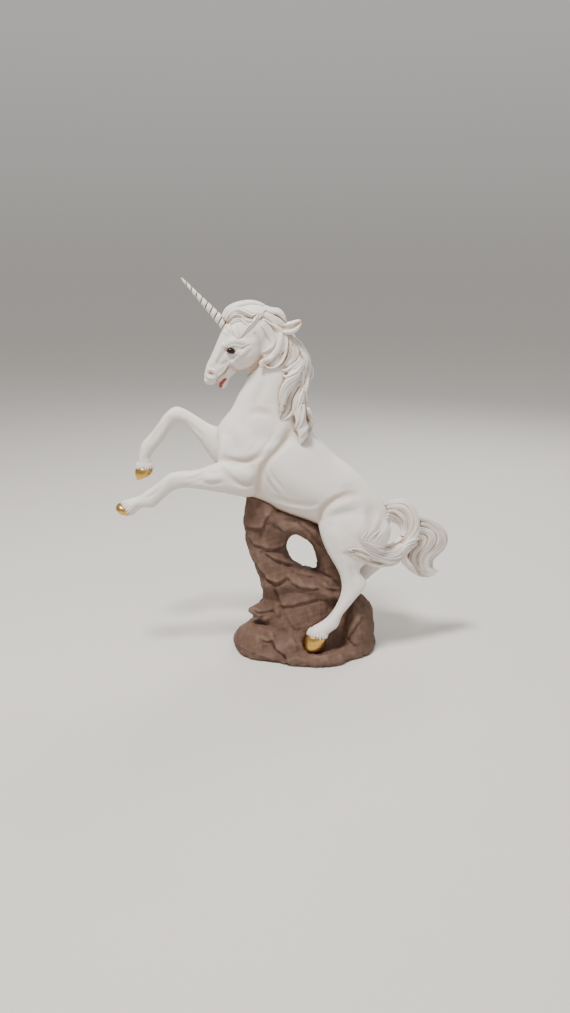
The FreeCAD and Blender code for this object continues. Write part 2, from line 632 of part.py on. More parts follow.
def leg_end(box, rows):
    """The middle of the last row, where the hoof begins."""
    top_x, top_z, bottom_x, bottom_z, middle_y, half_width_share = rows[-1]
    return (spot(box, top_x, top_z, middle_y) + spot(box, bottom_x, bottom_z, middle_y)) / 2


def eye(head, side):
    x_share, z_share, side_share = EYE_SPOT_SHARES
    ball = Part.makeSphere(EYE_LENGTH / 2)
    stretch = FreeCAD.Matrix()
    stretch.scale(1, EYE_DEPTH / EYE_LENGTH, EYE_HEIGHT / EYE_LENGTH)
    ball = ball.transformGeometry(stretch)
    ball.translate(spot(head, x_share, z_share, side * side_share))
    return ball


def horn(head):
    """A slim cone that starts inside the forehead and leans forward."""
    x_share, z_share = HORN_SPOT_SHARES
    lean = math.radians(HORN_LEAN_DEGREES)
    direction = FreeCAD.Vector(math.cos(lean), 0, math.sin(lean))
    start = spot(head, x_share, z_share) - direction * HORN_ROOT_DEPTH
    length = HORN_LENGTH + HORN_ROOT_DEPTH
    return Part.makeCone(HORN_DIAMETER / 2, HORN_TIP_DIAMETER / 2, length, start, direction)


def mound():
    centre = FreeCAD.Vector(0, -MOUND_SETBACK, 0)
    return stone(centre, ROCK_LENGTH, ROCK_DEPTH, 0, MOUND_HEIGHT, MOUND_OUTLINE_SHARES, MOUND_LEVEL_SHARES)


def boulder(shares):
    x_share, y_share, length_share, depth_share, top_share, radius_shares = shares
    centre = FreeCAD.Vector(ROCK_LENGTH * x_share, ROCK_DEPTH * y_share, 0)
    half_length = ROCK_LENGTH * length_share
    half_depth = ROCK_DEPTH * depth_share
    low = MOUND_HEIGHT / 2
    high = ROCK_HEIGHT * top_share
    outline_shares = round_outline(radius_shares)
    return stone(centre, half_length, half_depth, low, high, outline_shares, BOULDER_LEVEL_SHARES)


def vent(rock):
    """The hole in the underside through which the foot's hollow is poured out."""
    x_share, z_share = VENT_SPOT_SHARES
    x = rock.x + rock.length * x_share
    top = rock.z + rock.height * z_share
    return Part.makeCylinder(VENT_DIAMETER / 2, top + OVERRUN, FreeCAD.Vector(x, rock.y, -OVERRUN))


def build():
    rock = rock_box()
    torso = torso_box(rock)
    neck = neck_box(torso)
    head = head_box(neck)
    jaw = jaw_box(head)

    pieces = {}

    # The body casting and what grows out of it
    torso_skin = limb(torso, TORSO_SHARES)
    cavity = limb(torso, TORSO_SHARES[2:-2], CASTING_WALL)
    pieces["torso"] = torso_skin.cut(cavity).Solids[0]
    neck_skin = limb(neck, NECK_SHARES, seam_turn=0.5)
    pieces["neck"] = seated(neck_skin, torso_skin)
    head_skin = limb(head, HEAD_SHARES, seam_turn=0.25)
    pieces["head"] = seated(head_skin, neck_skin)
    jaw_skin = limb(jaw, JAW_SHARES, seam_turn=0.6)
    pieces["lower_jaw"] = seated(jaw_skin, head_skin, neck_skin)
    pieces["tongue"] = seated(limb(tongue_box(jaw), TONGUE_SHARES, seam_turn=0.4), head_skin, jaw_skin)
    pieces["horn"] = seated(horn(head), head_skin)
    for name, side in (("left_eye", LEFT), ("right_eye", RIGHT)):
        pieces[name] = seated(eye(head, side), head_skin)

    # Legs and hooves
    foreleg = foreleg_box(torso)
    foreleg_skin = limb(foreleg, FORELEG_SHARES)
    pieces["left_foreleg"] = seated(foreleg_skin, torso_skin, neck_skin)
    folded_leg = folded_leg_box(torso)
    folded_leg_skin = limb(folded_leg, FOLDED_LEG_SHARES)
    pieces["right_foreleg"] = seated(folded_leg_skin, torso_skin, neck_skin)
    near_leg_skin = hind_leg(hoof_top(NEAR_HOOF_SHARES), hip(torso, LEFT), HIND_LEG_SHARES)
    far_leg_skin = hind_leg(hoof_top(FAR_HOOF_SHARES), hip(torso, RIGHT), FAR_HIND_LEG_SHARES)
    pieces["left_hind_leg"] = seated(near_leg_skin, torso_skin)
    pieces["right_hind_leg"] = seated(far_leg_skin, torso_skin)
    hooves = {
        "left_fore_hoof": (REACHING_HOOF_SHARES, leg_end(foreleg, FORELEG_SHARES), foreleg_skin),
        "right_fore_hoof": (FOLDED_HOOF_SHARES, leg_end(folded_leg, FOLDED_LEG_SHARES), folded_leg_skin),
        "left_hind_hoof": (STANDING_HOOF_SHARES, hoof_top(NEAR_HOOF_SHARES), near_leg_skin),
        "right_hind_hoof": (STANDING_HOOF_SHARES, hoof_top(FAR_HOOF_SHARES), far_leg_skin),
    }
    hoof_skins = []
    for name, (rows, coronet, leg_skin) in hooves.items():
        hoof_skins.append(hoof(rows, coronet))
        pieces[name] = seated(hoof_skins[-1], leg_skin)

    # Hair
    forelock_skin = tress(forelock_box(head), FORELOCK_SHARES, FORELOCK_STRANDS, MANE_RELIEF, 0.7)
    mane_skin = tress(mane_crest_box(neck), MANE_SHARES, CREST_STRANDS, MANE_RELIEF, 0.35)
    pieces["forelock"] = seated(forelock_skin, head_skin, neck_skin, pieces["horn"])
    pieces["mane_crest"] = seated(mane_skin, head_skin, neck_skin, torso_skin, forelock_skin)
    for side_name, side in (("left", LEFT), ("right", RIGHT)):
        ear_skin = limb(ear_box(neck, side), EAR_SHARES)
        pieces[side_name + "_ear"] = seated(ear_skin, head_skin, neck_skin, mane_skin, forelock_skin)
        locks = (
            ("jowl", JOWL_LOCK_SHARES, [head_skin, neck_skin, mane_skin, ear_skin]),
            ("neck", NECK_LOCK_SHARES, [neck_skin, mane_skin]),
            ("end", END_LOCK_SHARES, [neck_skin, torso_skin, mane_skin]),
        )
        lock_above = []
        for lock_name, rows, carriers in locks:
            lock_skin = tress(mane_box(neck, side), rows, LOCK_STRANDS, MANE_RELIEF)
            pieces["%s_mane_%s_lock" % (side_name, lock_name)] = seated(lock_skin, *carriers, *lock_above)
            lock_above = [lock_skin]
    tail_upper = tail_upper_box(torso)
    tail_upper_skin = tress(tail_upper, TAIL_UPPER_SHARES, TAIL_UPPER_STRANDS, TAIL_RELIEF, 0.5)
    tail_lower = tail_lower_box(tail_upper)
    tail_lower_skin = tress(tail_lower, TAIL_LOWER_SHARES, TAIL_LOWER_STRANDS, TAIL_RELIEF, 0.25)
    pieces["tail_upper_lock"] = seated(tail_upper_skin, torso_skin, near_leg_skin)
    pieces["tail_lower_lock"] = seated(tail_lower_skin, torso_skin, tail_upper_skin)

    # Rock
    animal = [torso_skin, near_leg_skin, far_leg_skin] + hoof_skins
    stones = [mound()]
    pieces["rock_base"] = stones[0].cut(vent(rock)).Solids[0]
    foot_skin = limb(rock, PILLAR_FOOT_SHARES, seam_turn=0.5)
    foot = seated(foot_skin, *stones, *animal)
    foot_cavity = limb(rock, PILLAR_FOOT_SHARES[1:-1], CASTING_WALL)
    pieces["rock_pillar_foot"] = main_solid(foot.cut([foot_cavity, vent(rock)]))
    stones.append(foot_skin)
    ribs = (
        ("rock_slab", SLAB_SHARES, rock, 0.3),
        ("rock_pillar", PILLAR_SHARES, rock, 0.7),
        ("rock_arch", ARCH_SHARES, rock, 0.55),
        ("rock_spur", SPUR_SHARES, rock._replace(depth=SPUR_DEPTH, width=SPUR_DEPTH), 0.2),
    )
    for name, rows, box, seam_turn in ribs:
        rib_skin = limb(box, rows, seam_turn=seam_turn)
        pieces[name] = seated(rib_skin, *stones, *animal)
        stones.append(rib_skin)
    for name, shares in BOULDER_SHARES.items():
        boulder_skin = boulder(shares)
        pieces[name] = seated(boulder_skin, *stones, *animal)
        stones.append(boulder_skin)
    return pieces


os.makedirs("parts", exist_ok=True)
for name, shape in build().items():
    shape.exportStep("parts/%s.step" % name)
    size = shape.BoundBox
    print("%-24s %8.0f mm3  x %6.1f %6.1f  y %6.1f %6.1f  z %6.1f %6.1f" % (
        name, shape.Volume, size.XMin, size.XMax, size.YMin, size.YMax, size.ZMin, size.ZMax))
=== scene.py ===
import math
import bmesh
import bpy
import numpy as np
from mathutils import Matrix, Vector
from mathutils.bvhtree import BVHTree


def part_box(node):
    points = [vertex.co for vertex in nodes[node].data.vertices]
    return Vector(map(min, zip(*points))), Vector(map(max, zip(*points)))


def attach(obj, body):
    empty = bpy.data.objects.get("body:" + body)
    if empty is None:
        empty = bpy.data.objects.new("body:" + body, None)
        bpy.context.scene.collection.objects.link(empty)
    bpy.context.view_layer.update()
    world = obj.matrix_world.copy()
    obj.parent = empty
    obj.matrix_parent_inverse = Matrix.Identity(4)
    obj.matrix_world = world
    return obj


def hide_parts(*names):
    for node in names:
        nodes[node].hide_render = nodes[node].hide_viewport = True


# Looks of a ceramic unicorn on a rock. Shapes are worked out in millimetres and stored in metres.
MM = 0.001
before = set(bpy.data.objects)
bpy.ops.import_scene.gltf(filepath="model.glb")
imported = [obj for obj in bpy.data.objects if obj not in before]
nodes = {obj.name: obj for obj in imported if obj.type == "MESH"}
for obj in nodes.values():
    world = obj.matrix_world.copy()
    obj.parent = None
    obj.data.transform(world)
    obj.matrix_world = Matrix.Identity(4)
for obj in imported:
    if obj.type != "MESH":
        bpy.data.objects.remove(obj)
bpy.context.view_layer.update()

# The camera stands where the photo was taken from
CAMERA = np.array((-20.0, -768.0, 362.3))
CAMERA_PITCH = math.radians(16.0)
IMAGE = (570.0, 1013.0)
FOCAL_PIXELS = 826.0

# Enlargements on which points were read: left pixel, top pixel, magnification
HEAD = (190.0, 270.0, 12.0)
MANE = (260.0, 340.0, 15.0)
BODY = (200.0, 280.0, 6.0)
TAIL = (340.0, 490.0, 16.0)
ROCK = (230.0, 490.0, 10.0)
PHOTO = (0.0, 0.0, 1.0)

# Points that lie this close are one point
WELD_DISTANCE = 0.002
# A groove this deep gets the full painted shade
FULL_SHADE_DEPTH = 1.8
# Width of the slope at a ledge
LEDGE_SLOPE = 0.9
# A line of sight that meets a surface at a larger y has missed the near side
HAIR_FARTHEST = 12.0
SKIN_FARTHEST = 45.0
# Fine steps between two given points of a curve, and steps of a stroke for each of its points
CURVE_STEPS, STEPS_PER_POINT = 12, 6
# Sine waves in a ripple
RIPPLE_WAVES = 7


def sight(sheet, point):
    """The direction in which the camera sees a point of an enlargement."""
    left, top, zoom = sheet
    across = (left + point[0] / zoom - IMAGE[0] / 2) / FOCAL_PIXELS
    up = (IMAGE[1] / 2 - top - point[1] / zoom) / FOCAL_PIXELS
    cosine, sine = math.cos(CAMERA_PITCH), math.sin(CAMERA_PITCH)
    direction = np.array((across, cosine + up * sine, up * cosine - sine))
    return direction / np.linalg.norm(direction)


def curve_through(points, count):
    """Points at even steps along a smooth curve through the given ones."""
    points = np.asarray(points, float)
    padded = np.vstack((2 * points[0] - points[1], points, 2 * points[-1] - points[-2]))
    dense = []
    for index in range(len(points) - 1):
        a, b, c, d = padded[index:index + 4]
        for t in np.linspace(0, 1, CURVE_STEPS, endpoint=False):
            dense.append(0.5 * (2 * b + (c - a) * t + (2 * a - 5 * b + 4 * c - d) * t ** 2
                                + (3 * b - 3 * c + d - a) * t ** 3))
    dense = np.array(dense + [points[-1]])
    travel = np.concatenate(([0], np.cumsum(np.linalg.norm(np.diff(dense, axis=0), axis=1))))
    even = np.linspace(0, travel[-1], count)
    return np.stack([np.interp(even, travel, dense[:, axis]) for axis in range(dense.shape[1])], axis=1)


def ripple(points, wavelength, seed):
    """A smooth seeded wobble between about -1 and 1."""
    random = np.random.default_rng(seed)
    total = np.zeros(len(points))
    for _ in range(RIPPLE_WAVES):
        way = random.normal(size=3)
        way *= 2 * math.pi / (wavelength * random.uniform(0.7, 1.5)) / np.linalg.norm(way)
        total += np.sin(points @ way + random.uniform(0, 2 * math.pi))
    return total / math.sqrt(RIPPLE_WAVES)


def read(items, key, width, kind=np.float64):
    """One row of width numbers for each item."""
    values = np.empty(len(items) * width, kind)
    items.foreach_get(key, values)
    return values.reshape(-1, width) if width > 1 else values


def unit(rows):
    """The rows as vectors of length 1."""
    return rows / np.maximum(np.linalg.norm(rows, axis=1), 1e-12)[:, None]


def dots(one, other):
    """The dot product of each pair of rows."""
    return np.einsum("ij,ij->i", one, other)


def mesh_from(work, name):
    """A mesh from a bmesh, which is freed."""
    mesh = bpy.data.meshes.new(name)
    work.to_mesh(mesh)
    work.free()
    return mesh


def closed_mesh(work, name):
    """A mesh from a bmesh, with all its faces turned outward."""
    bmesh.ops.recalc_face_normals(work, faces=work.faces)
    return mesh_from(work, name)


def join_rings(work, loops):
    """Faces between the rings of a tube."""
    for low, high in zip(loops, loops[1:]):
        for step in range(len(low)):
            after = (step + 1) % len(low)
            work.faces.new((low[step], low[after], high[after], high[step]))


def put(name, data):
    """A new object in the scene."""
    thing = bpy.data.objects.new(name, data)
    bpy.context.scene.collection.objects.link(thing)
    return thing


def point_layer(mesh, name, values):
    """Stores one value for each point, which a material reads by name."""
    layer = mesh.attributes.new(name, "FLOAT", "POINT")
    layer.data.foreach_set("value", np.asarray(values, np.float32))


def outer_shell(node):
    """A copy of a CAD node's mesh with its corners joined and without the inner face of a closed hollow."""
    work = bmesh.new()
    work.from_mesh(nodes[node].data)
    bmesh.ops.remove_doubles(work, verts=work.verts, dist=WELD_DISTANCE * MM)
    work.verts.ensure_lookup_table()
    islands, seen = [], set()
    for start in work.verts:
        if start in seen:
            continue
        island, queue = [], [start]
        seen.add(start)
        while queue:
            vertex = queue.pop()
            island.append(vertex)
            for edge in vertex.link_edges:
                other = edge.other_vert(vertex)
                if other not in seen:
                    seen.add(other)
                    queue.append(other)
        islands.append(island)

    def reach(island):
        xs = [vertex.co.x for vertex in island]
        return max(xs) - min(xs)
    islands.sort(key=reach)
    for island in islands[:-1]:
        bmesh.ops.delete(work, geom=island, context="VERTS")
    return mesh_from(work, node)


def melted(names, voxel):
    """One closed mesh round all the named nodes, made of even quads."""
    work = bmesh.new()
    for name in names:
        mesh = outer_shell(name)
        work.from_mesh(mesh)
        bpy.data.meshes.remove(mesh)
    helper = put("melt", mesh_from(work, "melt"))
    remesh = helper.modifiers.new("remesh", "REMESH")
    remesh.mode = "VOXEL"
    remesh.voxel_size = voxel * MM
    graph = bpy.context.evaluated_depsgraph_get()
    mesh = bpy.data.meshes.new_from_object(helper.evaluated_get(graph))
    bpy.data.objects.remove(helper)
    return mesh


class Clay:
    """A closed mesh that is sculpted by moving its points."""

    def __init__(self, mesh):
        self.mesh = mesh
        self.points = read(mesh.vertices, "co", 3) / MM
        self.index()

    def index(self):
        """Reads which points are joined. The painted shade starts anew."""
        pairs = read(self.mesh.edges, "vertices", 2, np.int32)
        self.first, self.second = pairs[:, 0], pairs[:, 1]
        self.count = len(self.points)
        self.degree = (np.bincount(self.first, minlength=self.count)
                       + np.bincount(self.second, minlength=self.count))
        self.mesh.calc_loop_triangles()
        self.triangles = read(self.mesh.loop_triangles, "vertices", 3, np.int32)
        self.painted_shade = np.zeros(self.count)

    def refine(self, wanted):
        """Halves the edges of the faces whose points are wanted."""
        self.store()
        work = bmesh.new()
        work.from_mesh(self.mesh)
        edges = [edge for edge in work.edges if wanted[edge.verts[0].index] and wanted[edge.verts[1].index]]
        bmesh.ops.subdivide_edges(work, edges=edges, cuts=1, use_grid_fill=True)
        bmesh.ops.triangulate(work, faces=[face for face in work.faces if len(face.verts) > 4])
        work.to_mesh(self.mesh)
        work.free()
        self.points = read(self.mesh.vertices, "co", 3) / MM
        self.index()

    def spread(self, values):
        """For each point, the mean of its neighbours' values."""
        flat = values if values.ndim > 1 else values[:, None]
        total = np.empty_like(flat)
        for axis in range(flat.shape[1]):
            column = flat[:, axis]
            total[:, axis] = (np.bincount(self.first, column[self.second], self.count)
                              + np.bincount(self.second, column[self.first], self.count))
        total /= np.maximum(self.degree, 1)[:, None]
        return total if values.ndim > 1 else total[:, 0]

    def normals(self):
        a, b, c = (self.points[self.triangles[:, corner]] for corner in range(3))
        across = np.cross(b - a, c - a)
        total = np.zeros((self.count, 3))
        for axis in range(3):
            for corner in range(3):
                total[:, axis] += np.bincount(self.triangles[:, corner], across[:, axis], self.count)
        return unit(total)

    def relax(self, steps, out=0.5, inward=0.5):
        """Smooths; hollows fill at the rate out, and bumps sink at the rate inward."""
        for _ in range(steps):
            normal = self.normals()
            step = self.spread(self.points) - self.points
            along = dots(step, normal)
            gain = np.where(along > 0, out, inward) - 0.5
            self.points += 0.5 * step + normal * (along * gain)[:, None]

    def push(self, amount):
        """Moves the points out along their normals."""
        self.points += self.normals() * np.asarray(amount).reshape(-1, 1)

    def tree(self):
        return BVHTree.FromPolygons([tuple(point) for point in self.points],
                                    [tuple(corners) for corners in self.triangles.tolist()])

    def near(self, path, radius):
        """Nearby points, their distance from the path, their place along it and their side of it."""
        low, high = path.min(0) - radius, path.max(0) + radius
        found = np.flatnonzero(((self.points > low) & (self.points < high)).all(1))
        points = self.points[found]
        best = np.full(len(found), 1e9)
        place = np.zeros(len(found))
        offset = np.zeros((len(found), 3))
        heading = np.zeros((len(found), 3))
        for index, (a, b) in enumerate(zip(path, path[1:])):
            run = b - a
            t = np.clip(((points - a) @ run) / max(run @ run, 1e-9), 0, 1)
            gap = points - (a + t[:, None] * run)
            distance = np.linalg.norm(gap, axis=1)
            closer = distance < best
            best[closer] = distance[closer]
            place[closer] = ((index + t) / (len(path) - 1))[closer]
            offset[closer] = gap[closer]
            heading[closer] = run
        keep = best < radius
        return found[keep], best[keep], place[keep], offset[keep], heading[keep]

    def stroke(self, path, radius, amount, fade=True):
        """Raises or presses in the surface along a path. What is pressed in gets some painted shade."""
        found, distance, place = self.near(path, radius)[:3]
        height = amount * (1 - (distance / radius) ** 2) ** 2
        if fade:
            height *= 0.2 + 0.8 * np.sin(np.pi * np.clip(place, 0, 1)) ** 0.6
        self.points[found] += self.normals()[found] * height[:, None]
        if amount < 0:
            self.painted_shade[found] = np.maximum(self.painted_shade[found], np.clip(-height / FULL_SHADE_DEPTH, 0, 1))

    def ledge(self, path, radius, amount):
        """Lifts the surface on the left of the path, so that it stands over the other side."""
        found, distance, place, offset, heading = self.near(path, radius)
        normal = self.normals()[found]
        side = dots(np.cross(normal, unit(heading)), offset)
        step = np.clip(side / LEDGE_SLOPE + 0.5, 0, 1)
        height = amount * (1 - distance / radius) ** 1.5 * step
        height *= 0.3 + 0.7 * np.sin(np.pi * np.clip(place, 0, 1)) ** 0.5
        self.points[found] += normal * height[:, None]

    def store(self):
        self.mesh.vertices.foreach_set("co", (self.points * MM).ravel())
        self.mesh.update()


def hits(tree, sheet, points, farthest=HAIR_FARTHEST, beside=None):
    """Where the camera sees the points of an enlargement on a surface, with the surface's normals.
    A point beside the surface, or on something farther back, keeps the depth of the point before it, or
    takes the depth of the nearest point of the tree named beside."""
    ways = [sight(sheet, point) for point in points]
    casts = [tree.ray_cast(Vector(CAMERA), Vector(way))[:2] for way in ways]
    good = [place is not None and place.y < farthest for place, normal in casts]
    if not any(good):
        raise ValueError("nothing is seen on the way of %s" % (points,))
    first = good.index(True)
    depth, facing = casts[first][0].y, casts[first][1]
    places, normals = [], []
    for way, seen, (place, normal) in zip(ways, good, casts):
        if seen:
            depth, facing = place.y, normal
        elif beside is not None:
            spot = CAMERA + way * (depth - CAMERA[1]) / way[1]
            depth = beside.find_nearest(Vector(spot))[0].y
        places.append(CAMERA + way * (depth - CAMERA[1]) / way[1])
        normals.append(tuple(facing))
    return np.array(places), np.array(normals)


def trace(tree, sheet, points):
    """A smooth path on a surface through points of an enlargement."""
    return curve_through(hits(tree, sheet, points, SKIN_FARTHEST)[0], STEPS_PER_POINT * len(points))


def mirrored(tree, path):
    """The same path on the far side."""
    return np.array([tuple(tree.find_nearest(Vector((x, -y, z)))[0]) for x, y, z in path])


def piece(name, mesh, finish, slot, *replaced):
    """A finished piece that rides on the body and stands for its CAD nodes."""
    mesh.polygons.foreach_set("use_smooth", [True] * len(mesh.polygons))
    mesh.materials.clear()
    mesh.materials.append(finish)
    mesh.update()
    thing = put(name, mesh)
    if replaced:
        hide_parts(*replaced)
    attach(thing, "root")
    return thing


# Materials

class Finish:
    """A material and its nodes."""

    def __init__(self, name, **sockets):
        self.material = bpy.data.materials.new(name)
        self.material.use_nodes = True
        self.tree = self.material.node_tree
        self.shader = self.tree.nodes["Principled BSDF"]
        for socket, value in sockets.items():
            self.shader.inputs[socket.replace("_", " ")].default_value = value
        self.place = self.node("ShaderNodeTexCoord").outputs["Object"]

    def node(self, kind, **settings):
        made = self.tree.nodes.new(kind)
        for key, value in settings.items():
            setattr(made, key, value)
        return made

    def link(self, source, target):
        self.tree.links.new(source, target)

    def noise(self, size, detail=3.0, roughness=0.55, stretch=(1, 1, 1)):
        """Noise whose blotches are about size millimetres across."""
        mapping = self.node("ShaderNodeMapping")
        mapping.inputs["Scale"].default_value = stretch
        self.link(self.place, mapping.inputs["Vector"])
        noise = self.node("ShaderNodeTexNoise")
        noise.inputs["Scale"].default_value = 1 / (size * MM)
        noise.inputs["Detail"].default_value = detail
        noise.inputs["Roughness"].default_value = roughness
        self.link(mapping.outputs["Vector"], noise.inputs["Vector"])
        return noise.outputs["Fac"]

    def ramp(self, source, *stops):
        ramp = self.node("ShaderNodeValToRGB")
        elements = ramp.color_ramp.elements
        while len(elements) < len(stops):
            elements.new(0.5)
        for element, (position, value) in zip(elements, stops):
            element.position = position
            element.color = (*value, 1) if isinstance(value, tuple) else (value, value, value, 1)
        self.link(source, ramp.inputs["Fac"])
        return ramp.outputs["Color"]

    def mix(self, factor, low, high, blend="MIX"):
        mix = self.node("ShaderNodeMix", data_type="RGBA", blend_type=blend)
        for key, value in (("Factor", factor), ("A", low), ("B", high)):
            socket = next(item for item in mix.inputs if item.name == key and item.enabled)
            if isinstance(value, bpy.types.NodeSocket):
                self.link(value, socket)
            elif isinstance(value, tuple):
                socket.default_value = (*value, 1)
            else:
                socket.default_value = value
        return next(item for item in mix.outputs if item.enabled)

    def math(self, operation, first, second=0.0):
        made = self.node("ShaderNodeMath", operation=operation, use_clamp=True)
        for socket, value in zip(made.inputs, (first, second)):
            if isinstance(value, bpy.types.NodeSocket):
                self.link(value, socket)
            else:
                socket.default_value = value
        return made.outputs["Value"]

    def hollow(self, reach, first=0.45, last=0.95):
        """A mask for painted shade: white in creases within reach millimetres, black on open faces."""
        shade = self.node("ShaderNodeAmbientOcclusion", samples=8)
        shade.inputs["Distance"].default_value = reach * MM
        return self.ramp(shade.outputs["AO"], (first, 1.0), (last, 0.0))

    def layer(self, name):
        return self.node("ShaderNodeAttribute", attribute_name=name).outputs["Fac"]

    def bump(self, *heights):
        """Fine relief: pairs of a source and its height in millimetres."""
        normal = None
        for source, height in heights:
            bump = self.node("ShaderNodeBump")
            bump.inputs["Strength"].default_value = 1.0
            bump.inputs["Distance"].default_value = height * MM
            self.link(source, bump.inputs["Height"])
            if normal is not None:
                self.link(normal, bump.inputs["Normal"])
            normal = bump.outputs["Normal"]
        self.link(normal, self.shader.inputs["Normal"])

    def colour(self, source):
        self.link(source, self.shader.inputs["Base Color"])

    def rough(self, low, high, source):
        self.link(self.ramp(source, (0.3, low), (0.7, high)), self.shader.inputs["Roughness"])


def bisque(name, painted_shade, crease):
    """Unglazed white china, with tan painted shade in its broad hollows, its narrow creases and where a point
    layer asks for it.
    """
    broad_shade_tan, painted_shade_tan, crease_shade_tan = (0.62, 0.45, 0.33), (0.58, 0.40, 0.27), (0.50, 0.32, 0.20)
    finish = Finish(name, Specular_IOR_Level=0.42)
    cloud = finish.noise(34, 3)
    grain = finish.noise(0.9, 2)
    white = finish.mix(cloud, (0.80, 0.755, 0.715), (0.85, 0.81, 0.775))
    # Painted shade: tan in broad hollows within 14 mm
    shade = finish.math("MULTIPLY", finish.hollow(14.0, 0.30, 0.88), 0.7)
    white = finish.mix(shade, white, broad_shade_tan)
    patches = finish.ramp(finish.noise(9, 3), (0.25, 0.55), (0.7, 1.0))
    # Painted shade: darker tan in narrow creases, in patches
    crease_shade = finish.math("MULTIPLY", finish.hollow(crease), patches)
    # Painted shade given by a point layer: grooves, faces that look down, and the hollows of ears and curls
    white = finish.mix(finish.math("MULTIPLY", finish.layer("painted_shade"), 0.8), white, painted_shade_tan)
    finish.colour(finish.mix(finish.math("MULTIPLY", crease_shade, painted_shade), white, crease_shade_tan))
    finish.rough(0.50, 0.66, finish.noise(5, 3))
    finish.bump((grain, 0.05), (finish.noise(4, 2), 0.06))
    return finish.material


def gold_leaf():
    """Brushed gold paint, with painted shade where it meets the fringe."""
    finish = Finish("gold_paint", Metallic=1.0)
    stroke = finish.noise(2.0, 3, 0.5, (1, 1, 0.25))
    gold = finish.mix(stroke, (0.56, 0.33, 0.08), (0.76, 0.50, 0.15))
    # Painted shade: darker gold where other parts come within 2 mm, such as the fringe
    finish.colour(finish.mix(finish.hollow(2.0, 0.10, 0.45), gold, (0.30, 0.17, 0.05)))
    finish.rough(0.24, 0.34, finish.noise(3, 4))
    finish.bump((stroke, 0.025))
    return finish.material


def painted_rock():
    """Matte mauve-brown stain with painted shade in its hollows, dark red painted shade in the cracks, and
    dry-brushed on the edges.
    """
    finish = Finish("rock_paint", Specular_IOR_Level=0.25)
    cloud = finish.noise(26, 4, 0.6)
    streak = finish.noise(7, 5, 0.65, (1, 1, 0.5))
    grain = finish.noise(0.8, 3, 0.6)
    base = finish.mix(cloud, (0.100, 0.056, 0.040), (0.155, 0.095, 0.070))
    base = finish.mix(finish.ramp(streak, (0.45, 0.0), (0.75, 0.40)), base, (0.190, 0.125, 0.096))
    base = finish.mix(finish.ramp(grain, (0.35, 0.25), (0.6, 0.0)), base, (0.085, 0.046, 0.034))
    # Painted shade: darker in broad hollows within 16 mm
    shade = finish.math("MULTIPLY", finish.hollow(16.0, 0.25, 0.82), 0.55)
    base = finish.mix(shade, base, (0.075, 0.032, 0.022))
    # Painted shade: dark red in cracks within 4 mm
    crack = finish.math("MULTIPLY", finish.hollow(4.0, 0.25, 0.80), 0.9)
    base = finish.mix(crack, base, (0.050, 0.018, 0.012))
    edge = finish.ramp(finish.layer("edge"), (0.15, 0.0), (0.9, 0.45))
    finish.colour(finish.mix(edge, base, (0.235, 0.160, 0.125)))
    finish.rough(0.82, 0.95, streak)
    finish.bump((grain, 0.14), (streak, 0.25))
    return finish.material


def horn_china():
    """White china with gold-brown paint in the twist."""
    finish = Finish("horn_bisque", Specular_IOR_Level=0.45)
    white = finish.mix(finish.noise(12, 3), (0.80, 0.76, 0.71), (0.86, 0.82, 0.78))
    line = finish.ramp(finish.layer("groove"), (0.10, 0.0), (0.42, 1.0))
    paint = finish.mix(finish.noise(3, 3), (0.085, 0.045, 0.020), (0.30, 0.17, 0.06))
    finish.colour(finish.mix(line, white, paint))
    finish.rough(0.42, 0.58, finish.noise(3, 3))
    finish.bump((finish.noise(0.8, 2), 0.04))
    return finish.material


def glazed_eye():
    """Gloss black with red-brown corners."""
    finish = Finish("eye_paint", Coat_Weight=0.20, Coat_Roughness=0.05, Specular_IOR_Level=0.20)
    corner = finish.ramp(finish.layer("corner"), (0.62, 0.0), (0.95, 1.0))
    black = finish.mix(finish.noise(2, 2), (0.006, 0.005, 0.005), (0.016, 0.012, 0.010))
    finish.colour(finish.mix(corner, black, (0.20, 0.055, 0.030)))
    finish.rough(0.08, 0.16, finish.noise(2, 2))
    finish.bump((finish.noise(1.5, 2), 0.01))
    return finish.material


def tongue_red():
    """Satin red, with painted shade towards the mouth."""
    finish = Finish("tongue_paint", Specular_IOR_Level=0.5)
    red = finish.mix(finish.noise(2.5, 3), (0.26, 0.034, 0.024), (0.36, 0.062, 0.044))
    # Painted shade: darker red where the mouth comes close
    finish.colour(finish.mix(finish.hollow(2.0), red, (0.16, 0.02, 0.015)))
    finish.rough(0.32, 0.5, finish.noise(2, 2))
    finish.bump((finish.noise(0.7, 2), 0.05))
    return finish.material


skin_finish = bisque("white_bisque", 0.75, 3.5)
hair_finish = bisque("hair_bisque", 0.52, 2.2)
gold_finish = gold_leaf()
rock_finish = painted_rock()
horn_finish = horn_china()
eye_finish = glazed_eye()
tongue_finish = tongue_red()


# Body

BODY_NODES = ("torso", "neck", "head", "lower_jaw", "left_foreleg", "right_foreleg",
              "left_hind_leg", "right_hind_leg")
BODY_VOXEL = 0.85
# The head, above and in front of these, has finer faces
HEAD_FLOOR, HEAD_BACK = 252, -22
# Share of the painted shade in grooves and on faces that look down
GROOVE_SHADE, UNDERSIDE_SHADE = 0.48, 0.72
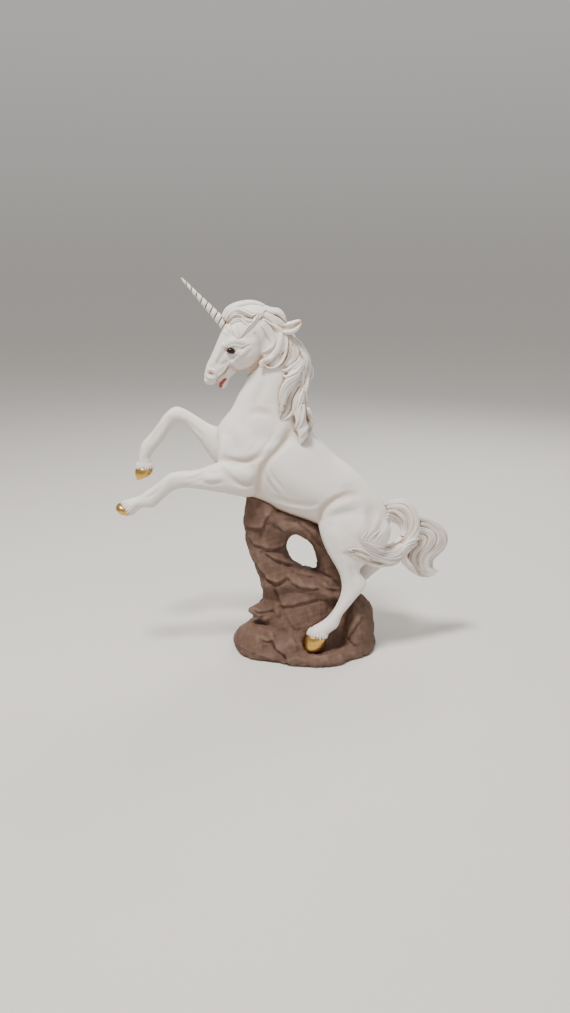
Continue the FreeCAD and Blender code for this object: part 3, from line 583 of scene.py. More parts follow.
# Grooves (negative) and swellings of the body, alike on both sides: points, radius, height
BODY_STROKES = (
    ([(150, 1075), (250, 1090), (320, 1074), (390, 1035)], 5.0, -2.2),
    ([(165, 1040), (250, 1056), (320, 1036)], 8.0, 1.2),
    ([(535, 925), (495, 985), (440, 1045), (400, 1095), (370, 1150), (352, 1230), (352, 1290)], 5.5, -3.0),
    ([(600, 820), (560, 880), (510, 960), (455, 1025)], 9.0, -1.0),
    ([(520, 850), (480, 930), (430, 1010), (380, 1060)], 8.0, 1.5),
    ([(470, 940), (430, 1000), (398, 1060)], 3.2, -0.9),
    ([(445, 925), (400, 990), (352, 1040)], 3.2, -0.9),
    ([(130, 1120), (185, 1190), (240, 1224), (300, 1224), (350, 1185)], 4.5, -2.0),
    ([(215, 1120), (270, 1165), (320, 1170)], 9.0, 2.4),
    ([(190, 920), (260, 965), (310, 1005)], 14.0, 2.6),
    ([(0, 1206), (60, 1222), (130, 1214)], 3.5, -0.9),
    ([(20, 1180), (80, 1190), (150, 1180)], 5.0, 1.0),
    ([(380, 1130), (412, 1215), (470, 1290)], 2.8, -1.0),
    ([(402, 1110), (446, 1190), (505, 1258)], 2.8, -0.8),
    ([(395, 1120), (430, 1200), (490, 1275)], 3.0, 0.6),
    ([(470, 1100), (540, 1190), (640, 1260), (740, 1290)], 14.0, 1.4),
    ([(712, 1450), (730, 1390), (785, 1338), (870, 1300), (955, 1284)], 6.0, -2.8),
    ([(750, 1450), (775, 1395), (845, 1350), (935, 1332)], 9.0, 2.2),
    ([(850, 1262), (930, 1260)], 9.0, -1.0),
    ([(1035, 1350), (1030, 1430), (1000, 1480)], 9.0, -1.4),
    ([(1100, 1430), (1075, 1500), (1050, 1560)], 6.0, -1.8),
    ([(940, 1380), (980, 1450), (960, 1530)], 9.0, 1.2),
    ([(800, 1480), (830, 1560), (860, 1640)], 10.0, 1.4),
    ([(300, 800), (355, 790), (420, 812)], 6.0, -1.3),
    ([(430, 1325), (540, 1358), (650, 1374), (715, 1362)], 3.0, 1.0),
    ([(430, 1295), (540, 1330), (650, 1346), (705, 1340)], 4.0, -0.9),
    ([(380, 620), (345, 700), (325, 770)], 6.0, -1.0),
    ([(460, 560), (440, 650), (430, 740)], 12.0, 1.0),
)
# The same on the legs, which differ from side to side, so each is drawn where it is seen
LEG_STROKES = (
    ([(213, 466), (204, 473), (194, 478), (183, 480)], 3.0, -0.9),
    ([(212, 472), (200, 480), (188, 484)], 3.5, -0.7),
    ([(178, 474), (171, 478), (166, 483)], 4.0, 0.7),
    ([(160, 488), (152, 495), (144, 499)], 2.4, -0.8),
    ([(157, 484), (150, 489), (142, 494)], 2.2, 0.4),
    ([(137, 501), (133, 506)], 3.4, 0.8),
    ([(205, 437), (194, 428), (184, 419)], 3.0, -0.8),
    ([(172, 413), (167, 417)], 4.0, 0.7),
    ([(163, 424), (156, 434), (149, 444)], 2.4, -0.7),
    ([(144, 452), (142, 459)], 3.4, 0.7),
    ([(349, 566), (353, 575), (357, 581)], 2.8, -1.1),
    ([(356, 570), (362, 582)], 2.6, 0.7),
    ([(347, 590), (340, 601), (332, 612), (325, 622)], 2.6, -0.8),
    ([(341, 588), (334, 600), (326, 612)], 2.2, 0.4),
    ([(318, 630), (312, 634)], 3.8, 0.8),
    ([(341, 555), (346, 566), (350, 576)], 3.4, 0.8),
)
# The same on the head, alike on both sides
HEAD_STROKES = (
    ([(425, 905), (480, 868), (560, 850), (650, 868)], 4.6, 1.5),
    ([(452, 968), (470, 930), (520, 902), (580, 908), (640, 915), (700, 880)], 1.5, 0.75),
    ([(455, 978), (505, 1006), (560, 1000), (612, 968)], 1.3, 0.6),
    ([(608, 960), (655, 922), (705, 900)], 1.4, -0.55),
    ([(440, 1012), (520, 1042), (600, 1030)], 2.2, -0.5),
    ([(700, 930), (620, 1010), (540, 1080), (470, 1128)], 3.0, 1.1),
    ([(690, 1000), (600, 1060), (530, 1115)], 2.4, -0.5),
    ([(740, 900), (760, 980), (720, 1060)], 8.0, 1.6),
    ([(395, 900), (330, 1020), (270, 1120)], 3.6, 1.0),
    ([(430, 960), (380, 1040), (330, 1120)], 2.6, -0.7),
    ([(330, 1150), (380, 1130), (430, 1110)], 3.0, -0.6),
    ([(175, 1330), (205, 1372), (250, 1376), (300, 1340)], 2.4, 1.1),
    ([(180, 1290), (215, 1325), (260, 1335)], 1.8, -0.6),
    ([(200, 1268), (206, 1225), (236, 1196), (282, 1205), (312, 1250), (300, 1290)], 1.5, 1.0),
    ([(205, 1282), (245, 1300), (290, 1292)], 1.3, 0.7),
    ([(232, 1240), (262, 1252)], 1.9, -2.2),
    ([(318, 1330), (352, 1286), (395, 1250), (436, 1200), (462, 1160)], 1.4, -1.4),
    ([(300, 1300), (345, 1262), (395, 1225), (440, 1165)], 1.5, 0.7),
    ([(365, 1330), (405, 1285), (445, 1225), (475, 1185)], 1.6, 0.8),
    ([(520, 1110), (590, 1150), (680, 1150), (760, 1100)], 4.5, 1.5),
    ([(480, 1120), (510, 1175), (590, 1210), (680, 1205), (770, 1160)], 2.4, -1.5),
    ([(850, 1050), (810, 1135), (750, 1190), (700, 1250)], 3.0, -2.6),
    ([(640, 1020), (720, 1010), (790, 1020)], 9.0, 1.3),
    ([(862, 1090), (852, 990), (838, 900), (815, 830), (780, 770)], 2.8, -0.8),
    ([(330, 720), (400, 730), (450, 760)], 3.0, 0.8),
)


# Half length, half height, depth and tilt of the bed that the lids form round an eye
EYE_BED = (4.6, 2.9, 1.6, math.radians(-8))
EYE_BED_REACH = 9
SIDES = (("left", -1), ("right", 1))


def bed_for_eye(clay, centre, side):
    """Sinks the lids into an almond-shaped bed round the eye."""
    half_length, half_height, depth, turn = EYE_BED
    found = np.flatnonzero(np.linalg.norm(clay.points - centre, axis=1) < EYE_BED_REACH)
    points = clay.points[found] - centre
    across = points[:, 0] * math.cos(turn) + points[:, 2] * math.sin(turn)
    up = points[:, 2] * math.cos(turn) - points[:, 0] * math.sin(turn)
    measure = np.sqrt((across / half_length) ** 2 + (up / half_height) ** 2)
    clay.points[found, 1] -= side * depth * np.clip(1.25 - measure, 0, 1)


def sculpt(clay, sheet, strokes, both_sides, fade):
    """Makes the strokes of a table, and their mirror images where both sides are alike."""
    for points, radius, height in strokes:
        path = trace(surface, sheet, points)
        clay.stroke(path, radius, height, fade)
        if both_sides:
            clay.stroke(mirrored(surface, path), radius, height, fade)


body = Clay(melted(BODY_NODES, BODY_VOXEL))
body.relax(42, out=0.75, inward=0.06)
body.refine((body.points[:, 2] > HEAD_FLOOR) & (body.points[:, 0] < HEAD_BACK))
body.relax(3)
surface = body.tree()
sculpt(body, BODY, BODY_STROKES, both_sides=True, fade=True)
sculpt(body, PHOTO, LEG_STROKES, both_sides=False, fade=True)
sculpt(body, HEAD, HEAD_STROKES, both_sides=True, fade=False)
eye_spots = {}
for side_name, side in SIDES:
    low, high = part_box(side_name + "_eye")
    eye_spots[side_name] = np.array((low + high) / 2) / MM
    bed_for_eye(body, eye_spots[side_name], side)
body.relax(2, out=0.4, inward=0.4)
body.push(0.10 * ripple(body.points, wavelength=22, seed=5))
# Painted shade: the tan in pressed-in grooves is softened, and faces that look down are given tan painted
# shade too
for _ in range(3):
    body.painted_shade = 0.5 * (body.painted_shade + body.spread(body.painted_shade))
underside = np.clip(-body.normals()[:, 2], 0, 1) ** 1.5
body.store()
point_layer(body.mesh, "painted_shade", np.clip(GROOVE_SHADE * body.painted_shade + UNDERSIDE_SHADE * underside, 0, 1))
piece("bisque_body", body.mesh, skin_finish, "white_bisque", *BODY_NODES)


# Hair: locks that lie on a mass

LOCK_SIDES = 22
# Length of one ring of a lock, and the fewest and most rings of a lock
RING_LENGTH, FEWEST_RINGS, MOST_RINGS = 1.6, 16, 60
# A lock reaches its full width at this share of its length
FULL_WIDTH_AT = 0.35
# Height of the combed ridges, as a share of the lock's thickness
RIDGE_HEIGHT = 0.30


def lock_mesh(work, path, normals, width, thick, ridges=3, tip=1.0, root=0.55, sink=0.35, dish=0.0):
    """Adds one combed lock along a path to a bmesh: oval sections with ridges, pointed at its tip.
    The normals say where its ridges face; one for the whole path will do."""
    rings, around = len(path), LOCK_SIDES
    heading = unit(np.gradient(path, axis=0))
    normals = np.broadcast_to(normals, path.shape)
    normals = unit(normals - heading * dots(normals, heading)[:, None])
    sideways = np.cross(heading, normals)
    loops = []
    for index in range(1, rings - 1):
        t = index / (rings - 1)
        swell = root + (1 - root) * math.sin(math.pi / 2 * min(1, t / FULL_WIDTH_AT))
        swell *= (1 - t ** 3) ** (0.9 * tip)
        half = width / 2 * max(swell, 0.06)
        high = thick * max(swell, 0.10) ** 0.8
        ring = []
        for step in range(around):
            angle = 2 * math.pi * step / around
            u, v = math.cos(angle), math.sin(angle)
            lift = high * v * 0.45
            if v > 0:
                comb = math.cos(math.pi * ridges * (u + 0.12 * math.sin(5 * t + ridges)))
                lift = high * (v ** 0.8) * (1 + RIDGE_HEIGHT * comb - dish * math.exp(-(u / 0.5) ** 2))
            place = path[index] + sideways[index] * half * u + normals[index] * (lift - high * sink)
            ring.append(work.verts.new(place * MM))
        loops.append(ring)
    start = work.verts.new(path[0] * MM)
    end = work.verts.new(path[-1] * MM)
    for step in range(around):
        after = (step + 1) % around
        work.faces.new((start, loops[0][after], loops[0][step]))
        work.faces.new((end, loops[-1][step], loops[-1][after]))
    join_rings(work, loops)


def even_run(places, normals, count, steps=12):
    """A path and its normals at even steps, without sideways jumps where it crosses from form to form."""
    both = curve_through(np.hstack((places, normals)), count)
    places, normals = both[:, :3], both[:, 3:]
    for _ in range(steps):
        places[1:-1, 1] = (places[:-2, 1] + 2 * places[1:-1, 1] + places[2:, 1]) / 4
        normals[1:-1] = (normals[:-2] + 2 * normals[1:-1] + normals[2:]) / 4
    return places, normals


def near_lock(work, tree, sheet, points, width, thick, beside=None, **form):
    """A lock through points of an enlargement, on what the camera sees there. Returns its path."""
    places, normals = hits(tree, sheet, points, beside=beside)
    length = np.linalg.norm(np.diff(places, axis=0), axis=1).sum()
    count = int(min(MOST_RINGS, max(FEWEST_RINGS, length / RING_LENGTH)))
    path, across = even_run(places, normals, count)
    lock_mesh(work, path, across, width, thick, **form)
    return path


def far_lock(work, tree, path, width, thick, shift, **form):
    """The twin of a lock on the far side of the same mass, moved a little and seen from the y in shift."""
    places, normals = [], []
    for x, y, z in path[::2]:
        spot = Vector((x + shift[0], shift[1], z + shift[2]))
        place, normal = tree.ray_cast(spot, Vector((0, -1, 0)))[:2]
        if place is None:
            place, normal = tree.find_nearest(Vector((x + shift[0], abs(y), z + shift[2])))[:2]
        places.append(tuple(place))
        normals.append(tuple(normal))
    lock_mesh(work, *even_run(places, normals, len(path)), width, thick, **form)


def finish_hair(work, name):
    """Turns the locks in a bmesh into one piece."""
    piece(name, closed_mesh(work, name), hair_finish, "hair_bisque")


# Locks: points from root to tip, width, thickness, ridges
UPPER_MANE_LOCKS = (
    ([(1210, 800), (1310, 900), (1385, 1020), (1425, 1130), (1440, 1240), (1425, 1330)], 9.0, 3.6, 3),
    ([(1180, 790), (1265, 895), (1330, 1000), (1355, 1110), (1350, 1220), (1335, 1330)], 8.0, 3.6, 2),
    ([(1150, 770), (1225, 880), (1265, 980), (1245, 1065), (1190, 1120), (1110, 1180)], 8.0, 3.4, 3),
    ([(1320, 1030), (1290, 1110), (1225, 1170), (1155, 1205), (1085, 1198)], 7.5, 3.0, 2),
    ([(1335, 1120), (1300, 1205), (1230, 1260), (1160, 1284), (1095, 1258)], 6.5, 2.8, 2),
    ([(1330, 1220), (1270, 1290), (1200, 1328), (1120, 1312)], 5.5, 2.6, 2),
    ([(1120, 740), (1195, 850), (1205, 970), (1170, 1075), (1110, 1145), (1035, 1180)], 6.0, 3.2, 2),
    ([(1070, 690), (1140, 800), (1152, 920), (1132, 1030), (1085, 1120), (1010, 1172), (930, 1166),
     (884, 1120), (870, 1066)], 3.8, 3.4, 1),
    ([(850, 630), (930, 690), (990, 780), (1022, 865), (1000, 920), (940, 960), (872, 985), (850, 978)],
     11.0, 4.6, 2),
)
LOWER_MANE_LOCKS = (
    ([(700, 330), (765, 430), (765, 540), (715, 640), (690, 760), (690, 880), (705, 990)], 4.5, 3.0, 2),
    ([(625, 170), (690, 290), (675, 400), (640, 480), (650, 600), (622, 710)], 5.5, 3.2, 2),
    ([(600, 520), (505, 600), (405, 690), (352, 800), (340, 920), (322, 1040), (300, 1150)], 9.0, 3.6, 3),
    ([(610, 620), (530, 720), (478, 850), (445, 960), (402, 1065), (335, 1160), (302, 1215)], 6.5, 3.2, 2),
    ([(630, 700), (570, 800), (535, 900), (520, 1020), (478, 1110), (400, 1170), (320, 1222)], 6.0, 3.2, 2),
    ([(650, 720), (620, 840), (595, 950), (560, 1045), (535, 1090)], 5.5, 3.0, 2),
    ([(620, 940), (592, 1050), (600, 1150), (570, 1250), (500, 1345)], 6.5, 3.2, 2),
    ([(645, 950), (650, 1080), (640, 1200), (600, 1300), (515, 1372)], 5.5, 3.0, 2),
    ([(665, 990), (700, 1190), (685, 1330), (630, 1440), (590, 1530)], 6.5, 3.2, 3),
    ([(700, 1000), (750, 1140), (755, 1270), (725, 1390), (665, 1485), (595, 1538)], 6.0, 3.2, 2),
)
FORELOCK_LOCKS = (
    ([(395, 590), (450, 490), (540, 430), (660, 400), (780, 398), (880, 425), (955, 470)], 10.0, 3.6, 3),
    ([(430, 610), (490, 525), (575, 480), (665, 502), (740, 540), (795, 520), (830, 450)], 7.0, 3.4, 2),
    ([(440, 640), (490, 575), (555, 535), (625, 562), (690, 612), (760, 622), (825, 580), (885, 500),
     (950, 472)], 5.0, 3.0, 2),
    ([(480, 655), (540, 602), (600, 590), (660, 640), (712, 692)], 4.6, 2.8, 2),
    ([(815, 440), (805, 550), (765, 630), (700, 690), (650, 750), (600, 810), (556, 832)], 5.0, 3.0, 2),
    ([(500, 670), (535, 730), (560, 785), (575, 828)], 8.0, 2.8, 2),
    ([(440, 650), (465, 705), (452, 775)], 5.0, 2.4, 2),
    ([(870, 440), (960, 482), (1060, 500), (1125, 570), (1165, 650)], 9.0, 3.4, 3),
    ([(890, 520), (985, 580), (1075, 630), (1150, 715), (1215, 790)], 8.5, 3.2, 3),
    ([(850, 590), (950, 632), (1050, 700), (1120, 765), (1195, 805)], 6.0, 3.0, 2),
)
TAIL_LOCKS = (
    ([(700, 225), (800, 215), (920, 185), (1035, 190), (1145, 265), (1215, 385), (1235, 505), (1205, 640),
     (1150, 740), (1060, 830)], 7.0, 3.0, 3),
    ([(735, 280), (860, 262), (980, 275), (1080, 355), (1130, 470), (1130, 600), (1080, 720), (1000, 810),
     (900, 862)], 7.0, 3.0, 3),
    ([(755, 350), (860, 335), (950, 385), (1028, 475), (1058, 590), (1040, 700), (980, 800), (880, 870),
     (760, 892)], 6.5, 3.0, 2),
    ([(745, 400), (850, 415), (940, 465), (1005, 555), (1018, 650), (985, 750), (905, 840), (800, 888),
     (680, 890)], 7.0, 3.4, 2),
    ([(740, 440), (820, 460), (890, 490), (950, 545), (985, 620), (985, 690)], 6.0, 3.4, 2),
    ([(1010, 860), (890, 935), (760, 962), (640, 950), (520, 900), (420, 850), (325, 842)], 9.0, 3.2, 3),
    ([(1000, 960), (870, 1030), (745, 1040), (620, 1010), (500, 940), (400, 875), (315, 835)], 8.0, 3.2, 3),
    ([(1000, 1045), (885, 1088), (760, 1095), (640, 1065), (520, 1000), (420, 925), (330, 872)], 6.0, 3.0,
     2),
    ([(985, 1105), (865, 1145), (745, 1148), (620, 1110), (500, 1045), (400, 985), (280, 945), (150, 950),
     (25, 992)], 4.6, 2.8, 2),
    ([(960, 1130), (840, 1185), (720, 1198), (600, 1168), (480, 1108), (380, 1058), (260, 1010),
     (130, 1005), (30, 1022)], 4.6, 2.8, 2),
    ([(720, 1225), (600, 1215), (480, 1175), (380, 1120), (250, 1080), (120, 1045)], 4.0, 2.6, 2),
    ([(1250, 440), (1400, 480), (1560, 575), (1665, 690), (1685, 800), (1640, 920), (1545, 1020),
     (1475, 1110), (1470, 1200), (1520, 1270), (1598, 1297)], 7.0, 3.0, 3),
    ([(1280, 520), (1420, 560), (1548, 640), (1608, 740), (1588, 860), (1500, 970), (1425, 1070),
     (1405, 1180), (1455, 1280), (1585, 1312)], 8.0, 3.0, 3),
    ([(1240, 630), (1350, 640), (1450, 700), (1480, 790), (1430, 890), (1340, 975), (1292, 1080),
     (1302, 1190), (1372, 1290), (1500, 1340)], 9.0, 3.2, 3),
    ([(1180, 720), (1280, 735), (1335, 795), (1288, 880), (1200, 965), (1162, 1060), (1182, 1170),
     (1262, 1280), (1382, 1375), (1500, 1365)], 9.0, 3.2, 3),
    ([(1290, 745), (1190, 800), (1080, 862), (995, 945), (972, 1045), (1035, 1140)], 6.0, 3.0, 2),
    ([(1250, 840), (1125, 905), (1025, 985), (1005, 1065), (1062, 1155), (1152, 1260), (1250, 1350),
     (1368, 1398)], 8.0, 3.0, 3),
)
TAIL_TUFTS = (
    ([(640, 640), (560, 700), (500, 760), (470, 830), (500, 880)], 2.8, 1.5, 1),
    ([(540, 620), (470, 690), (425, 770), (420, 850), (470, 890)], 2.6, 1.5, 1),
    ([(450, 640), (400, 710), (370, 780), (390, 850)], 2.2, 1.3, 1),
    ([(300, 640), (305, 700), (330, 770), (400, 850)], 2.4, 1.3, 1),
    ([(250, 700), (270, 760), (330, 820), (400, 870)], 2.2, 1.3, 1),
    ([(700, 660), (620, 740), (580, 820), (590, 880)], 2.8, 1.5, 1),
)

# The hollow inside the curl behind the jaw gets painted shade within this distance of its middle line
CURL_HOLLOW = [(905, 1100), (960, 1115), (1010, 1105), (1045, 1075)]
CURL_SHADE_RADIUS = 4.2
# The masses under the locks: size of their faces, and how far they are drawn in
HAIR_VOXEL, MANE_SHRINK, TAIL_SHRINK = 0.9, 1.2, 1.1
# The y from which the far side of mane and tail is looked at
FAR_SIDE, TAIL_FAR_SIDE = 90.0, 40.0
# The far locks of the mane are moved by up to this much along it and down, each in its own way
FAR_ALONG, FAR_DOWN = 0.6, 1.2
# Behind this x the tail hangs free, so its far side shows
TAIL_FREE_FROM = 87
# Strands of the tail before and after these have a twin there, if enough of their rings hang free
TWINS_BEFORE, TWINS_AFTER, FREE_RINGS = 3, 10, 12

MANE_NODES = ("mane_crest", "forelock", "left_mane_jowl_lock", "left_mane_neck_lock", "left_mane_end_lock",
              "right_mane_jowl_lock", "right_mane_neck_lock", "right_mane_end_lock")
TAIL_NODES = ("tail_upper_lock", "tail_lower_lock")


def hair_mass(names, shrink):
    """The plain mass under the locks, drawn in by shrink to leave room for them."""
    mass = Clay(melted(names, HAIR_VOXEL))
    mass.relax(26, out=0.75)
    mass.push(np.full(mass.count, -shrink))
    mass.push(0.25 * ripple(mass.points, wavelength=9, seed=11))
    mass.store()
    return mass


def joined_tree(*clays):
    """One tree of several surfaces, so that what is in front is met first."""
    points, faces, base = [], [], 0
    for clay in clays:
        points += [tuple(point) for point in clay.points]
        faces += (clay.triangles + base).tolist()
        base += clay.count
    return BVHTree.FromPolygons(points, faces)


mane = hair_mass(MANE_NODES, MANE_SHRINK)
mane_bed = joined_tree(mane, body)
# Painted shade: the hollow inside the curl is darkened in colour only
shaded, distance = mane.near(trace(mane_bed, HEAD, CURL_HOLLOW), CURL_SHADE_RADIUS)[:2]
mane.painted_shade[shaded] = 1 - (distance / CURL_SHADE_RADIUS) ** 2
point_layer(mane.mesh, "painted_shade", mane.painted_shade)
mane_locks = [(HEAD, lock) for lock in UPPER_MANE_LOCKS] + [(MANE, lock) for lock in LOWER_MANE_LOCKS]
forelock_locks = [(HEAD, lock) for lock in FORELOCK_LOCKS]
for name, locks in (("mane", mane_locks), ("forelock", forelock_locks)):
    near_work, far_work = bmesh.new(), bmesh.new()
    for index, (sheet, (points, width, thick, ridges)) in enumerate(locks):
        path = near_lock(near_work, mane_bed, sheet, points, width, thick, ridges=ridges)
        shift = (FAR_ALONG * math.sin(2.3 * index), FAR_SIDE, -FAR_DOWN * abs(math.cos(1.7 * index)))
        far_lock(far_work, mane_bed, path, width, thick, shift, ridges=ridges)
    finish_hair(near_work, "left_%s_locks" % name)
    finish_hair(far_work, "right_%s_locks" % name)
piece("mane_mass", mane.mesh, hair_finish, "hair_bisque", *MANE_NODES)

# Locks that part along the crest and fall to either side, seen from behind
CREST_LOCKS, CREST_TOP, CREST_STEP = 16, 331.0, 5.6
# The first ten fall this far, the others down to the foot of the neck
LONG_LOCKS, CREST_FALL, LEAST_FALL, NECK_FOOT = 10, 46.0, 16.0, 219.0
CREST_WIDTH, CREST_THICK, CREST_STEPS, CREST_RINGS = 7.5, 3.2, 9, 32
# Distance from the parting at a lock's root, how far it then swings out, and the size of its wave
CREST_PARTING, CREST_SPREAD, CREST_WAVE = 1.5, 11.5, 2.4
# A lock ends where the surface jumps more than this
CREST_JUMP = 16
BEHIND_THE_CREST = 120.0
crest_work = bmesh.new()
for row in range(CREST_LOCKS):
    side = -1 if row % 2 else 1
    high = CREST_TOP - CREST_STEP * row
    fall = CREST_FALL if row < LONG_LOCKS else max(LEAST_FALL, high - NECK_FOOT)
    route, outward = [], []
    for t in np.linspace(0, 1, CREST_STEPS):
        wave = CREST_WAVE * math.sin(2 * math.pi * t)
        sideways = side * (CREST_PARTING + CREST_SPREAD * t ** 0.8 - wave)
        spot = Vector((BEHIND_THE_CREST, sideways, high - fall * t))
        place, normal = mane_bed.ray_cast(spot, Vector((-1, 0, 0)))[:2]
        if place is not None and (not route or (place - Vector(route[-1])).length < CREST_JUMP):
            route.append(tuple(place))
            outward.append(tuple(normal))
    if len(route) > 4:
        route, outward = even_run(route, outward, CREST_RINGS, steps=3)
        lock_mesh(crest_work, route, outward, CREST_WIDTH, CREST_THICK, ridges=2)
finish_hair(crest_work, "crest_locks")

tail = hair_mass(TAIL_NODES, TAIL_SHRINK)
tail_alone = tail.tree()
tail_bed = joined_tree(tail, body)
near_work, far_work = bmesh.new(), bmesh.new()
for index, (points, width, thick, ridges) in enumerate(TAIL_LOCKS):
    path = near_lock(near_work, tail_bed, TAIL, points, width, thick, tail_alone, ridges=ridges)
    behind = path[path[:, 0] > TAIL_FREE_FROM]
    if len(behind) > FREE_RINGS and (index < TWINS_BEFORE or index > TWINS_AFTER):
        far_lock(far_work, tail_alone, behind, width, thick, (0.0, TAIL_FAR_SIDE, 0.0), ridges=ridges)
for points, width, thick, ridges in TAIL_TUFTS:
    near_lock(near_work, tail_bed, TAIL, points, width, thick, ridges=ridges, root=0.25, sink=0.6)
finish_hair(near_work, "tail_left_locks")
finish_hair(far_work, "tail_right_locks")
piece("tail_mass", tail.mesh, hair_finish, "hair_bisque", *TAIL_NODES)


# Ears

# Middle line of the right ear and the way its outer face looks
EAR_LINE = np.array(((-24.0, 9.5, 311.5), (-14.5, 13.2, 312.0), (-4.9, 11.8, 317.6)))
EAR_FACING = np.array((0.10, 0.93, 0.36))
EAR_RINGS, EAR_WIDTH, EAR_THICK, EAR_DISH = 22, 11.0, 5.2, 1.25
# Strength of the painted shade in the ear's hollow, and how far it reaches from the middle line
EAR_SHADE, EAR_SHADE_REACH = 0.9, 2.2


def ear(side_name, side):
    """A leaf-shaped ear laid back along the mane, hollow on its outer face."""
    mirror = np.array((1, side, 1))
    facing = EAR_FACING * mirror
    path = curve_through(EAR_LINE * mirror, EAR_RINGS)
    work = bmesh.new()
    lock_mesh(work, path, facing, EAR_WIDTH, EAR_THICK,
              ridges=0, tip=0.75, root=0.7, sink=0.5, dish=EAR_DISH)
    name = side_name + "_ear_leaf"
    mesh = closed_mesh(work, name)
    # Painted shade in the hollow of the ear's outer face, strongest along its middle line
    away = (read(mesh.vertices, "co", 3) / MM)[:, None, :] - path[None, :, :]
    nearest = np.linalg.norm(away, axis=2).min(1)
    outer = (away.mean(1) @ facing) > -0.4
    point_layer(mesh, "painted_shade", EAR_SHADE * outer * np.exp(-(nearest / EAR_SHADE_REACH) ** 2))
    leaf = piece(name, mesh, skin_finish, "white_bisque", side_name + "_ear")
    rounder = leaf.modifiers.new("rounder", "SUBSURF")
    rounder.levels = rounder.render_levels = 1


# Eyes

# Half length, half depth, half height and tilt of an eye, and how far it is set in
EYE_LENGTH, EYE_DEPTH, EYE_HEIGHT, EYE_TURN, EYE_INSET = 4.3, 2.9, 2.75, math.radians(8), 0.6
# Share of its height that an eye has lost at its corners
EYE_NARROWING = 0.35


def eye(side_name, side):
    """A black almond with red-brown corners."""
    work = bmesh.new()
    bmesh.ops.create_uvsphere(work, u_segments=40, v_segments=24, radius=1.0)
    centre = eye_spots[side_name] - np.array((0.0, side * EYE_INSET, 0.0))
    corners = []
    for vertex in work.verts:
        along, depth, up = vertex.co
        corners.append(abs(along))
        up *= EYE_HEIGHT * (1 - EYE_NARROWING * along ** 2)
        along *= EYE_LENGTH
        x = along * math.cos(EYE_TURN) + up * math.sin(EYE_TURN)
        z = up * math.cos(EYE_TURN) - along * math.sin(EYE_TURN)
        vertex.co = Vector((centre[0] + x, centre[1] + depth * EYE_DEPTH, centre[2] + z)) * MM
    name = side_name + "_eye_glaze"
    mesh = mesh_from(work, name)
    point_layer(mesh, "corner", corners)
    piece(name, mesh, eye_finish, "eye_paint", side_name + "_eye")


for side_name, side in SIDES:
    ear(side_name, side)
    eye(side_name, side)


# Horn

HORN_BASE, HORN_TIP = np.array((-73.4, 0.0, 312.4)), np.array((-113.4, 0.0, 355.4))
HORN_BASE_RADIUS, HORN_TIP_RADIUS = 4.75, 0.85
HORN_TURNS, HORN_RINGS, HORN_SIDES = 9.6, 190, 48
# Width of the groove as a share of a turn; its depth and the swell between turns as shares of the radius
TWIST_WIDTH, TWIST_DEPTH, TWIST_SWELL = 0.085, 0.16, 0.14
# The tip is rounded off from this share of the length on
ROUNDED_FROM = 0.96


def horn():
    """A tapered horn with a twist cut into it, its turns closer together towards the tip."""
    length = np.linalg.norm(HORN_TIP - HORN_BASE)
    axis = (HORN_TIP - HORN_BASE) / length
    side = np.array((0.0, 1.0, 0.0))
    rise = np.cross(axis, side)
    work = bmesh.new()
    loops, grooves = [], []
    for index in range(HORN_RINGS):
        t = index / (HORN_RINGS - 1)
        radius = HORN_BASE_RADIUS * (1 - t) + HORN_TIP_RADIUS * t
        if t > ROUNDED_FROM:
            beyond = (t - ROUNDED_FROM) / (1 - ROUNDED_FROM)
            radius *= math.sqrt(max(0.0, 1 - beyond ** 2)) * 0.9 + 0.1
        ring = []
        for step in range(HORN_SIDES):
            angle = 2 * math.pi * step / HORN_SIDES
            phase = (HORN_TURNS * t ** 0.92 - angle / (2 * math.pi)) % 1.0
            groove = math.exp(-(min(phase, 1 - phase) / TWIST_WIDTH) ** 2)
            swell = math.sin(math.pi * phase) ** 0.7
            reach = radius * (0.88 + TWIST_SWELL * swell - TWIST_DEPTH * groove)
            out = side * math.cos(angle) + rise * math.sin(angle)
            ring.append(work.verts.new((HORN_BASE + axis * length * t + out * reach) * MM))
            grooves.append(groove)
        loops.append(ring)
    join_rings(work, loops)
    work.faces.new(loops[0][::-1])
    work.faces.new(loops[-1])
    mesh = closed_mesh(work, "twisted_horn")
    point_layer(mesh, "groove", grooves)
    piece("twisted_horn", mesh, horn_finish, "horn_bisque", "horn")


horn()


# Hooves, each with a fringe of hair over its top edge

HOOF_VOXEL = 0.45
# Middle of the top edge, the way the hoof points, half length and half width of the top edge
HOOVES = {
    "left_hind_hoof": ((11.0, -41.0, 25.6), (-0.12, 0, -1), 9.6, 7.8),
    "right_hind_hoof": ((35.5, 31.0, 25.6), (-0.12, 0, -1), 9.6, 7.8),
    "left_fore_hoof": ((-168.0, -24.1, 146.8), (-0.74, 0, -0.67), 7.4, 7.2),
    "right_fore_hoof": ((-158.2, 24.1, 175.0), (-0.05, 0, -1), 8.2, 7.0),
}
FRINGE_LOCKS, FRINGE_RINGS, FRINGE_THICK = 20, 14, 1.9
FRINGE_JITTER, FRINGE_WIDTHS = 0.08, (3.8, 4.8)
# Root and middle of a fringe lock: share of the way out to the top edge, and distance below it
FRINGE_ROOT, FRINGE_MIDDLE = (0.78, -5.5), (0.97, -1.5)
# The same share for its tip, and the greatest distance of the tip below the top edge
FRINGE_TIP, FRINGE_DROP = 1.04, 1.8


